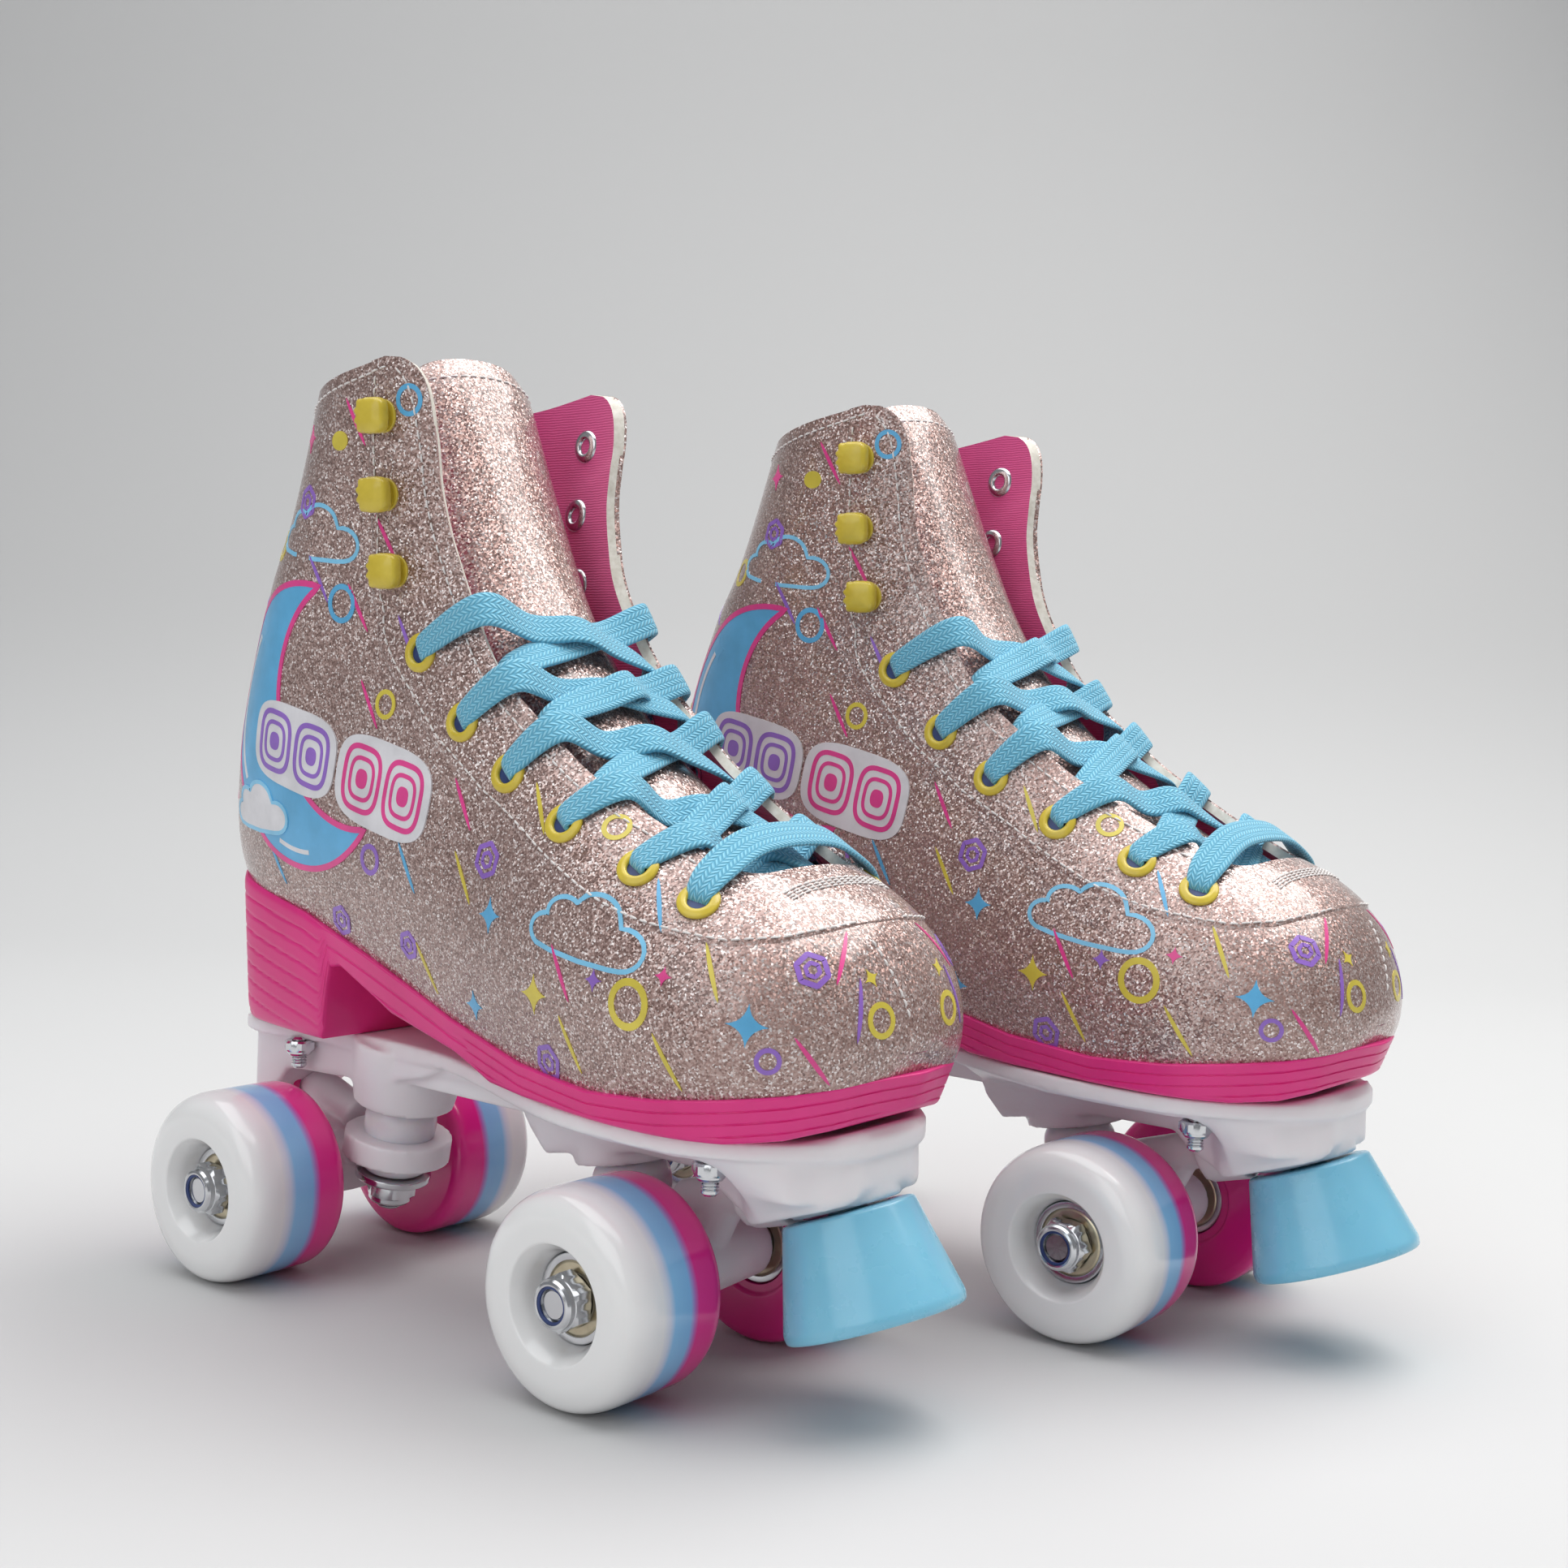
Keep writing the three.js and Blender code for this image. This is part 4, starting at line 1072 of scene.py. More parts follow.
# ---- Outsole --------------------------------------------------------------------------------
UNDERSIDE = np.array([
    (-110, 87), (-107.5, 84), (-105.5, 73), (-101, 70.3), (-48, 70.3), (-46.5, 74), (-45, 91), (-40, 92),
    (-31, 88),
    (-17, 82), (-3, 79), (12, 76), (28, 71), (44, 70.3), (112, 70.3), (124, 71.4), (131, 73.2), (138, 76)],
    float)
FEATHER = np.array([
    (-109.6, 113.5, 0.01, 0), (-108.6, 113.5, 5, 0), (-105, 113.5, 11, 0), (-97, 112, 19.5, 0),
    (-85, 110, 26, 0), (-55, 104.5, 30.5, 0),
    (-22, 94.5, 32, 0), (12, 84, 35, 0), (44, 78, 40, -1), (73, 76.5, 45, -1.5), (95, 78, 45.5, -1.5),
    (112, 80, 41, -1.5), (124, 81.5, 32.5, -0.5), (131, 83, 23, 0.5), (135.3, 84.3, 12, 1),
    (137.2, 84.6, 5, 1),
    (137.8, 84.6, 0.01, 1)], float)


def outsole():
    """A ribbed unit sole: plan outline by rows of the side wall, closed above and below."""
    right = [(x, s + w) for x, _, w, s in FEATHER]
    left = [(x, s - w) for x, _, w, s in FEATHER[1:-1]][::-1]
    outline = curve_through(right + left, None, closed=True)[:-1]
    total = len(outline)
    ahead, back = np.roll(outline, -1, axis=0), np.roll(outline, 1, axis=0)
    along = ahead - back
    along /= np.linalg.norm(along, axis=1)[:, None] + 1e-9
    normal = np.stack([along[:, 1], -along[:, 0]], axis=1)
    if ((outline - outline.mean(axis=0)) * normal).sum() < 0:
        normal = -normal
    x = outline[:, 0]
    low, high = np.interp(x, UNDERSIDE[:, 0], UNDERSIDE[:, 1]), np.interp(x, FEATHER[:, 0],
            FEATHER[:, 1]) + 1.2
    steps, rings = 72, []
    for k in range(steps + 1):
        t = k / steps
        z = low + (high - low) * t
        pitch = np.where(x > 20, 3.0, 5.0)
        groove = np.clip(np.cos((high - z) / pitch * 2 * np.pi) * 7 - 5.8, 0, 1)
        fade = np.clip((high - z - 1.6) / 0.6, 0, 1) * np.clip((z - low - 1.2) / 0.6, 0, 1)
        edge = 1.3 * (1 - math.sqrt(max(0.0, 1 - (1 - min(1, t * 7)) ** 2))) \
            + 0.8 * (1 - math.sqrt(max(0.0, 1 - (1 - min(1, (1 - t) * 18)) ** 2)))
        inward = (2.0 + 2.2 * np.clip((x - 100) / 36, 0, 1)) * (1 - t) + 0.3 * groove * fade + edge
        rings.append(np.column_stack([outline - normal * np.minimum(inward, 5.0)[:, None], z]))
    rings = np.array(rings)
    verts = rings.reshape(-1, 3)
    faces = grid_faces(steps + 1, total, close_cols=True)
    half = total // 2
    for base in (0, steps * total):
        for i in range(half):
            a, b, c, d = base + i, base + i + 1, base + (total - i - 1) % total, base + (total - i) % total
            faces.append((a, b, c, d) if base else (a, d, c, b))
    return outward(welded(Shape(verts, faces)))


make("sole", outsole(), "skate", [PINK], "outsole", crisp=40)


def insole():
    """A padded footbed on the floor of the boot."""
    rings, across = [], np.linspace(-1, 1, 25)
    for u in np.linspace(0.9, 11.6, 70):
        base = on_boot(u, 0.0, 1, WALL + 0.3)
        wide = abs(on_boot(u, 0.03, 1, WALL + 0.8)[1]) - 0.5
        end = min(1, math.sqrt(max(0.0, 1 - max(0, (u - 10.6)) ** 2)), math.sqrt(max(0.05,
                1 - max(0, 1.6 - u) ** 2)))
        wide = max(3.0, (wide - 1.0) * end)
        shift = section(u)[6]
        top = [(base[0], shift + wide * t, base[2] + 1.0 + 3.4 * (1 - abs(t) ** 5)) for t in across]
        low = [(base[0], shift + wide * t, base[2] + 0.4) for t in across[::-1]]
        rings.append(top + low)
    return skinned(rings)


for piece in make("footbed", insole(), "skate", [INSOLE], crisp=50):
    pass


# ---- Moulded plate and hangers --------------------------------------------------------------
def axes(end, direction):
    """Frame whose Z runs along a direction in the side view, from the ring's middle."""
    centre = (end * (WHEELBASE / 2 - RING_REACH), 0, RING_HEIGHT)
    y, z = np.array([0, 1, 0]), np.array([direction[0], 0, direction[1]])
    return frame_of(np.cross(y, z), y, z, centre)


def kingpin_axes(end):
    """Frame along a truck's kingpin."""
    return axes(end, (-end * math.sin(KINGPIN_TILT), math.cos(KINGPIN_TILT)))


STEER_REACH = math.hypot(RING_REACH + PIVOT_REACH, PIVOT_HEIGHT - RING_HEIGHT)
STEER_RISE = math.atan2(PIVOT_HEIGHT - RING_HEIGHT, RING_REACH + PIVOT_REACH)


def steer_axes(end):
    """Frame along a truck's steering line, towards its pivot."""
    return axes(end, (end * math.cos(STEER_RISE), math.sin(STEER_RISE)))


def slab(outline, half):
    """A plank on edge: an outline in X and Z, from -half to half in Y."""
    outline = np.array(outline, float)
    rings = [np.column_stack([outline[:, 0], np.full(len(outline), y), outline[:, 1]]) for y in (-half, half)]
    return skinned(rings)


def moulded(name, shapes, body, node, voxel):
    """Grows overlapping solids into one moulded part with softened edges."""
    whole = together(*shapes)
    mesh = bpy.data.meshes.new("work")
    mesh.from_pydata(whole.verts.tolist(), [], whole.faces)
    work = bpy.data.objects.new("work", mesh)
    bpy.context.scene.collection.objects.link(work)
    remesh = work.modifiers.new("remesh", "REMESH")
    remesh.mode, remesh.voxel_size = "VOXEL", voxel
    smooth = work.modifiers.new("smooth", "SMOOTH")
    smooth.factor, smooth.iterations = 0.5, 3
    bpy.context.view_layer.update()
    done = work.evaluated_get(bpy.context.evaluated_depsgraph_get()).to_mesh()
    verts = np.zeros(len(done.vertices) * 3)
    done.vertices.foreach_get("co", verts)
    faces = [tuple(p.vertices) for p in done.polygons]
    shape = Shape(verts.reshape(-1, 3), faces)
    work.evaluated_get(bpy.context.evaluated_depsgraph_get()).to_mesh_clear()
    bpy.data.objects.remove(work)
    bpy.data.meshes.remove(mesh)
    make(name, shape, body, [NYLON], node, crisp=180)


DECK = [(-98, 14), (-95, 18.5), (-86, 20.5), (-72, 18.5), (-55, 15.5), (-35, 14.5), (-10, 17), (12, 24),
        (35, 33),
        (55, 39.5), (73, 41.5), (95, 41), (110, 35), (120, 27), (127, 18), (130, 10)]


def deck():
    """The plate's flat top."""
    outline = curve_through(DECK + [(x, -w) for x, w in DECK[::-1]], 220, closed=True)[:-1]
    rings = [np.column_stack([outline, np.full(len(outline), z)]) for z in (DECK_TOP - DECK_THICKNESS,
            DECK_TOP)]
    return skinned(rings)


def front_block():
    """The body under the deck: flanks that fall from the deck's edge to a narrow keel."""
    keel = np.array([(22, 55), (28, 49), (60, 55), (84, 55), (88, 51), (100, 44.8), (127.0, 54.5), (129, 58)],
                    float)
    edge, rings = np.array(DECK, float), []
    for x in np.linspace(22, 129, 90):
        low = np.interp(x, keel[:, 0], keel[:, 1])
        wide = max(np.interp(x, edge[:, 0], edge[:, 1]) - 2.0, 8.0)
        toe = min(max((x - 97) / 8, 0), 1)
        waist = min(17.5 + 8.5 * toe, wide)
        half = min(15.2 + 4.3 * toe, wide - 0.5)
        top = np.interp(x, [108, 124, 131], [67.5, 70.8, 73.0])
        side = [(wide, top), (wide - 0.6, 64.6), (waist, 60.5 - 5.0 * toe), (half, low + 2),
                (half - 1.2, low)]
        rings.append([(x, y, z) for y, z in side] + [(x, -y, z) for y, z in side[::-1]])
    return skinned(rings)


STOP_AXES = turned_to((STOP_PLACE[0], 0, STOP_PLACE[1]), (-math.sin(STOP_TILT), 0, math.cos(STOP_TILT)))


def plate():
    """The deck with its blocks, beam, ribs, kingpin bosses, pivot bosses and toe stop pad."""
    rear = [(-97, 67.75), (-97.5, 47), (-94, 44), (-86, 50), (-82, 55), (-40, 57), (-22, 61), (-6, 67.75)]
    shapes = [deck(), slab(rear, 14.2), front_block()]
    beam = slab([(-32, 57.5), (28, 57.5), (28, 67.5), (-32, 67.5)], 2.6)
    shapes += [beam.placed(Matrix.Translation((0, y, 0))) for y in (-8.5, 8.5)]
    shapes.append(slab([(-30, 62.5), (28, 62.5), (28, 67.5), (-30, 67.5)], 12))
    for x in (-12, 5):
        shapes.append(slab([(x - 1.6, 58), (x + 1.6, 58), (x + 1.6, 67), (x - 1.6, 67)], 10.5))
    foot, reach = 12.9, STEER_REACH
    boss = turned([(0, foot), (14.5, foot), (16, foot + 9), (17.5, foot + 19.5), (0, foot + 19.5)], 72)
    socket = turned([(0, reach - 4.4), (9.4, reach - 4.4), (9.8, reach + 8), (0, reach + 8)], 48)
    for end in (1, -1):
        shapes += [boss.placed(kingpin_axes(end)), socket.placed(steer_axes(end))]
    pad = turned([(0, 0.6), (13.5, 0.6), (14.5, 11), (0, 11)], 60)
    return shapes + [pad.placed(STOP_AXES)]


moulded("base_plate", plate(), "skate", "plate", 0.85)


def rounded_ring(wide, thick, count, powers):
    """A rounded oblong as pairs (across, up)."""
    turns = np.arange(count) * 2 * np.pi / count
    return [(math.copysign(abs(math.cos(a)) ** powers[0], math.cos(a)) * wide,
             math.copysign(abs(math.sin(a)) ** powers[1], math.sin(a)) * thick) for a in turns]


def hanger(end):
    """A truck's body: ring, axle housing, the web between them and the pivot arm."""
    king, steer = kingpin_axes(end), steer_axes(end)
    ring = turned([(7.4, -3.6), (15.6, -3.6), (15.6, 3.6), (7.4, 3.6)], 80)
    half = [(9.3, 0, 6), (8.8, 8, 6), (8.1, 20.3, 0.8), (6.1, 20.4, 0.3), (6.1, 22.1, 0.2), (0, 22.1)]
    mirrored = [(p[0], -p[1], *p[2:]) for p in half[:0:-1]]
    housing = turned(rounded(mirrored + half, 0.4), 64)
    axle_x = end * WHEELBASE / 2
    m = Matrix.Translation((axle_x, 0, WHEEL_RADIUS)) @ Matrix.Rotation(math.pi / 2, 4, "X")
    centre = np.array([end * (WHEELBASE / 2 - RING_REACH), RING_HEIGHT])
    axle_at = np.array([axle_x, WHEEL_RADIUS])
    direction = unit(axle_at - centre)
    upward = np.array([-direction[1], direction[0]]) * end
    web = []
    for t in np.linspace(0, 1, 14):
        spot = centre + (axle_at - centre) * (0.42 + 0.56 * t)
        oblong = rounded_ring(12.0 + 5.5 * t ** 1.5, 3.4 + 3.4 * t, 28, (0.6, 0.7))
        web.append([(spot[0] + upward[0] * up, y, spot[1] + upward[1] * up) for y, up in oblong])
    arm = turned(rounded([(0, 18), (5.4, 18), (5.6, 33), (5.0, 40, 1), (3.6, 49.2, 1.8), (0, 49.4)], 1.2), 40)
    start = steer[:3, 3] + steer[:3, 2] * 34
    strut = []
    for t in np.linspace(0, 1, 8):
        spot = np.array([axle_at[0], 0, axle_at[1] + 3]) * (1 - t) + start * t
        strut.append([(spot[0] + 6.0 * (1 - 0.2 * t) * math.cos(a), (5.6 - 0.6 * t) * math.sin(a),
                       spot[2] - 2.2 * math.cos(a) * end) for a in np.arange(20) * 2 * np.pi / 20])
    return [ring.placed(king), housing.placed(m), skinned(web), arm.placed(steer), skinned(strut)]


for end, where in ((1, "front"), (-1, "rear")):
    moulded(f"{where}_truck_hanger", hanger(end), f"{where}_truck", f"{where}_hanger", 0.62)


# ---- Fasteners ------------------------------------------------------------------------------
def hex_turned(profile, flats, sides=72):
    """Solid of revolution cut to a hexagon across the flats where its mark says so."""
    rings = []
    angles = np.arange(sides) * 2 * np.pi / sides
    hexagon = flats / 2 / np.cos((angles + np.pi / 6) % (np.pi / 3) - np.pi / 6)
    for r, h, cut in profile:
        radius = np.minimum(r, hexagon) if cut else np.full(sides, r)
        rings.append(np.column_stack([radius * np.cos(angles), radius * np.sin(angles), np.full(sides, h)]))
    return outward(welded(Shape(rings, grid_faces(len(profile), sides, True, True))))


def nyloc(flats, height, bore, collar):
    """A lock nut standing on Z=0, and the plastic ring in its top."""
    body, wide = height * 0.68, flats / 2 / math.cos(math.pi / 6)
    steel = hex_turned([
        (bore, 0.0, 0), (flats / 2 - 0.2, 0.0, 0), (wide + 0.02, 0.55, 1), (wide + 0.02, body - 0.6, 1),
        (flats / 2, body, 0),
        (collar, body + 0.15, 0), (collar, height - 0.9, 0), (collar - 0.5, height - 0.25, 0),
        (collar - 1.1, height, 0),
        (bore + 0.6, height - 0.1, 0), (bore + 0.55, height - 0.7, 0), (bore, height - 0.8, 0)], flats)
    ring = turned(rounded([(bore - 0.1, height - 0.9), (bore - 0.1, height - 0.35),
                           (bore + 0.6, height - 0.3),
                           (bore + 0.6, height - 0.9)], 0.1), 48)
    return steel, ring


def threaded(low, high, radius, pitch=1.0, thread_to=None):
    """A bolt with thread crests between two heights."""
    chamfer = 0.7
    profile = [(0, low), (radius - chamfer, low), (radius, low + chamfer)]
    at, stop = low + chamfer, min(high - chamfer, high if thread_to is None else thread_to)
    while at + pitch < stop:
        profile += [(radius, at + 0.1 * pitch), (radius - 0.5, at + 0.5 * pitch), (radius, at + 0.9 * pitch)]
        at += pitch
    profile += [(radius, high - chamfer), (radius - chamfer, high), (0, high)]
    return turned(profile, 40)


def across_y(side, x):
    """Stands a piece made along Z so that Z is the depth from the wheel's outer face."""
    turn = Matrix.Rotation(math.pi / 2 * side, 4, "X")
    return Matrix.Translation((x, side * TRACK / 2, WHEEL_RADIUS)) @ turn


def kingpin_parts(end, where):
    """The kingpin with its washer, nut and cup seat, and the two cushions on it."""
    king = kingpin_axes(end)
    washer = turned(rounded([(4.2, -8.3), (11, -8.3, 0.5), (11, -10.5, 0.7), (4.2, -10.8)], 0.2))
    seat = turned(rounded([(4.4, 12.42), (10.8, 12.42), (10.8, 13.4), (4.4, 13.4)], 0.25))
    steel, ring = nyloc(NUT_FLATS, 7.0, NUT_BORE, 6.2)
    flip = Matrix(king) @ Matrix.Translation((0, 0, -10.7)) @ Matrix.Rotation(math.pi, 4, "X")
    pin = threaded(-19.2, 26.5, 4.0, thread_to=-8)
    bolt = together(washer.placed(king), seat.placed(king), pin.placed(king))
    make(f"{where}_kingpin_bolt", bolt, "skate", [CHROME], f"{where}_kingpin")
    make(f"{where}_kingpin_nut", steel.placed(flip), "skate", [CHROME])
    make(f"{where}_kingpin_nut_ring", ring.placed(flip), "skate", [INSERT_AND_HOLE_SHADE])
    for name, node, profile, blend in (
            ("top", "upper", [(4.7, 1.35), (8.8, 1.35, 0.8), (10.5, 4.2, 2.0), (10.5, 9.6, 2.0),
                              (8.9, 12.4, 0.8), (4.7, 12.4)], (12.3, 1.5)),
            ("bottom", "lower", [(4.7, -7.95), (8.4, -7.95, 0.8), (10.3, -5.9, 1.4), (10.3, -3.6, 1.4),
                                 (8.6, -1.4, 0.8), (4.7, -1.4)], (-7.8, -1.5))):
        spots = [king[:3, 3] + king[:3, 2] * h for h in blend]
        make(f"{where}_cushion_{name}", turned(rounded(profile, 0.4)).placed(king), None, [MILK],
             f"{where}_{node}_cushion", bend=("skate", f"{where}_truck", *spots))


def pivot_cup(end, where):
    """The rubber cup that the pivot arm sits in."""
    at = STEER_REACH
    shape = turned(rounded([(5.3, at - 5.2), (7.2, at - 5.2, 0.5), (7.4, at - 4.2, 0.3), (7.0, at + 3.5),
                            (0, at + 3.9), (0, at + 2.9), (4.2, at + 2.7)], 0.3), 48)
    make(f"{where}_cup", shape.placed(steer_axes(end)), "skate", [PINK], f"{where}_pivot_cup")


def bearing(low):
    """The two races of a bearing, and its shields."""
    high = low + BEARING_WIDTH
    outer = turned(rounded([(9.2, low + 0.2), (11, low, 0.4), (11, high, 0.4), (9.2, high - 0.2)], 0.2), 64)
    inner = turned(rounded([(4.05, low, 0.3), (5.7, low, 0.2), (5.7, high, 0.2), (4.05, high, 0.3)], 0.2), 48)
    shields = turned(rounded([
        (5.9, low + 0.65), (6.6, low + 0.35), (8.6, low + 0.35), (9.25, low + 0.65),
        (9.25, high - 0.65), (8.6, high - 0.35), (6.6, high - 0.35), (5.9, high - 0.65)], 0.15), 64)
    return [outer, inner], shields


def wheel(end, where, side, place):
    """A wheel with its bearings and spacer, and the nut that holds it."""
    m, name = across_y(side, end * WHEELBASE / 2), f"{where}_{place}"
    tyre = turned(rounded([
        (14.7, 0.15, 0.5), (21.3, 0, 2.2), (25.3, 1.8, 2.8), (27, 6, 3), (27, 29.0, 1.6), (26.2, 31.2, 1.4),
        (24.2, 32, 1), (14.0, 32, 0.6), (13.4, 31.0, 0.4), (11.25, 30.9, 0.2), (11.25, 23.2, 0), (9, 23.2, 0),
        (9, 14.8, 0), (11.25, 14.8, 0), (11.25, 8, 0.4), (12.6, 3.4, 1.4)], 0.3, 6), 96)
    tyre.values["depth"] = np.clip(tyre.verts[:, 2] / WHEEL_WIDTH, 0, 1)
    make(f"{name}_tyre", tyre.placed(m), f"{name}_wheel", [WHEEL], f"{name}_wheel")
    pairs = [bearing(low) for low in BEARING_DEPTHS]
    spacer = turned(rounded([(4.1, 14.6), (6, 14.6), (6, 23.4), (4.1, 23.4)], 0.2), 40)
    races = together(*pairs[0][0], *pairs[1][0], spacer)
    shields = together(*[shield for _, shield in pairs])
    make(f"{name}_races", races.placed(m), f"{name}_wheel", [CHROME], f"{name}_bearings")
    make(f"{name}_shields", shields.placed(m), f"{name}_wheel", [SHIELD])
    spin = Matrix.Rotation(0.3 * (end + side), 4, "Z")
    nut_m = m @ Matrix.Translation((0, 0, 7.25)) @ Matrix.Rotation(math.pi, 4, "X") @ spin
    steel, ring = nyloc(NUT_FLATS, 7.6, NUT_BORE, 6.2)
    make(f"{name}_nut", steel.placed(nut_m), f"{where}_truck", [CHROME], f"{name}_axle_nut",
         crisp=25)
    make(f"{name}_nut_ring", ring.placed(nut_m), f"{where}_truck", [INSERT_AND_HOLE_SHADE])


for end, where in ((1, "front"), (-1, "rear")):
    kingpin_parts(end, where)
    pivot_cup(end, where)
    rods = [threaded(0.8, far, AXLE_RADIUS, thread_to=9).placed(across_y(side, end * WHEELBASE / 2))
            for side, far in ((-1, TRACK - 0.8), (1, 10))]
    make(f"{where}_axle_rod", together(*rods), f"{where}_truck", [CHROME], f"{where}_axle")
    for side, place in ((-1, "outer"), (1, "inner")):
        wheel(end, where, side, place)

stop_profile = rounded([
    (0, 0), (13.0, 0, 0.4), (16.5, -0.3, 0.9), (22.6, -25.0, 1.0), (22.2, -27.2, 0.9), (20.5, -27.4, 1.0),
    (0, -27.4)], 0.4, 6)
stem = turned([(0, -1), (5, -1), (5, 12.4), (4.4, 13), (0, 13)], 40)
make("brake", together(turned(stop_profile, 96), stem).placed(STOP_AXES), "skate", [BRAKE],
     "toe_stop", crisp=50)


def sole_bolts():
    """The four bolts that hold the plate to the sole, with their nuts."""
    shapes = []
    for x, y, top in ((98, 28.5, 62.4), (98, -28.5, 62.4), (-71, 18.2, 65.6), (-71, -18.2, 65.6)):
        steel, _ = nyloc(8, 4.6, 2.2, 3.6)
        m = Matrix.Translation((x, y, top)) @ Matrix.Rotation(math.pi, 4, "X")
        shapes += [steel.placed(m), threaded(-1, 8.2, 2.2, 0.8).placed(m)]
    return together(*shapes)


make("sole_bolts", sole_bolts(), "skate", [CHROME], crisp=25)


# ---- Printed pattern ------------------------------------------------------------------------
INKS = list(INK)


class Print:
    """Flat shapes drawn in millimetres around a place on the boot and laid on its surface."""

    def __init__(self, u, p, side, turn=0.0, flat=False):
        self.here, self.out, self.toe, self.up = skin_frame(u, p, side)
        if flat:
            self.out = np.array([0.0, side, 0.0])
            self.toe, self.up = np.array([1.0, 0, 0]), np.array([0, 0, 1.0])
        c, s = math.cos(turn), math.sin(turn)
        self.toe, self.up = self.toe * c + self.up * s, self.up * c - self.toe * s
        self.shapes = []

    def lay(self, points, faces, ink, layer=0):
        top, low = [], []
        for x, y in points:
            spot = self.here + self.toe * x + self.up * y
            top.append(on_skin(spot, self.out, 0.16 + 0.09 * layer))
            low.append(on_skin(spot, self.out, -0.15))
        count = len(points)
        edges = {}
        for f in faces:
            for a, b in zip(f, f[1:] + f[:1]):
                edges[(a, b)] = edges.get((a, b), 0) + 1
        rim = [e for e in edges if (e[1], e[0]) not in edges]
        whole = list(faces) + [tuple(i + count for i in f[::-1]) for f in faces]
        whole += [(b, a, a + count, b + count) for a, b in rim]
        self.shapes.append(outward(Shape(np.array(top + low), whole, INKS.index(ink))))
        return self

    def fill(self, outline, ink, layer=0, grid=3.0):
        outline = [tuple(p) for p in outline]
        low, high = np.min(outline, axis=0), np.max(outline, axis=0)
        inner = []
        for x in np.arange(low[0] + grid / 2, high[0], grid):
            for y in np.arange(low[1] + grid / 2, high[1], grid):
                if inside((x, y), outline):
                    inner.append((x, y))
        count = len(outline)
        result = delaunay_2d_cdt([Vector(p) for p in outline + inner], [], [list(range(count))], 1, 1e-5)
        points = [(v.x, v.y) for v in result[0]]
        faces = [tuple(f) for f in result[2]]
        return self.lay(points, faces, ink, layer)

    def stroke(self, path, width, ink, layer=0, closed=True):
        path = np.array(path, float)
        if closed:
            ahead, back = np.roll(path, -1, axis=0), np.roll(path, 1, axis=0)
        else:
            ahead, back = np.vstack([path[1:], path[-1:]]), np.vstack([path[:1], path[:-1]])
        along = ahead - back
        along /= np.linalg.norm(along, axis=1)[:, None] + 1e-9
        side = np.stack([-along[:, 1], along[:, 0]], axis=1) * width / 2
        points = np.stack([path + side, path - side], axis=1).reshape(-1, 2)
        faces = [tuple(f) for f in grid_faces(len(path), 2, close_rows=closed)]
        return self.lay(points.tolist(), faces, ink, layer)


def inside(point, outline):
    x, y = point
    hit = False
    for (x0, y0), (x1, y1) in zip(outline, outline[1:] + outline[:1]):
        if (y0 > y) != (y1 > y) and x < (x1 - x0) * (y - y0) / (y1 - y0) + x0:
            hit = not hit
    return hit


def circle(radius, count=36):
    turns = np.linspace(0, 2 * math.pi, count, endpoint=False)
    return [(radius * math.cos(a), radius * math.sin(a)) for a in turns]


def star(size):
    """Four points with hollow sides."""
    points, waist = [], 0.26
    for k in range(4):
        a, b = k * math.pi / 2, (k + 1) * math.pi / 2
        tip, after = np.array([math.cos(a), math.sin(a)]) * size, np.array([math.cos(b), math.sin(b)]) * size
        middle = (tip + after) / 2 * waist
        for t in np.linspace(0, 1, 6, endpoint=False):
            points.append(tuple((1 - t) ** 2 * tip + 2 * t * (1 - t) * middle + t * t * after))
    return points


def cloud(width):
    """A cloud's outline: bumps over a flat foot."""
    s = width / 36
    bumps = [((-12.5, -3.5), 5.2, 1.7, 4.2), ((-7.5, 2.6), 5.6, 1.0, 3.4), ((2.2, 4.6), 7.2, 0.45, 2.75),
             ((12.2, -2.2), 6.4, -1.4, 1.9)]
    points = []
    for (x, y), r, a, b in bumps[::-1]:
        points += [((x + r * math.cos(t)) * s, (y + r * math.sin(t)) * s) for t in np.linspace(a, b, 11)]
    points += [(-10 * s, -9 * s), (0, -9.5 * s), (10 * s, -9 * s)]
    return [(x, y * 0.74) for x, y in points]


def streak(length, width):
    """A thin leaf along X."""
    half = length / 2
    right = [(x, width / 2 * math.sin(math.pi * (x + half) / length) ** 0.5) for x in np.linspace(-half, half,
            14)]
    return right + [(x, -y) for x, y in right[-2:0:-1]]


def lozenge(width, height, power, centre=(0, 0), count=48):
    """A rounded oblong."""
    turns = np.linspace(0, 2 * np.pi, count, endpoint=False)
    c, s = np.cos(turns), np.sin(turns)
    x = np.sign(c) * np.abs(c) ** (2 / power) * width / 2
    y = np.sign(s) * np.abs(s) ** (2 / power) * height / 2
    return list(zip(x + centre[0], y + centre[1]))


def along_edges(corners):
    """Points along straight edges, kept off the corners."""
    points = []
    for (x0, y0), (x1, y1) in zip(corners, corners[1:] + corners[:1]):
        points += [(x0 + (x1 - x0) * t, y0 + (y1 - y0) * t) for t in np.linspace(0.04, 0.96, 5)]
    return points


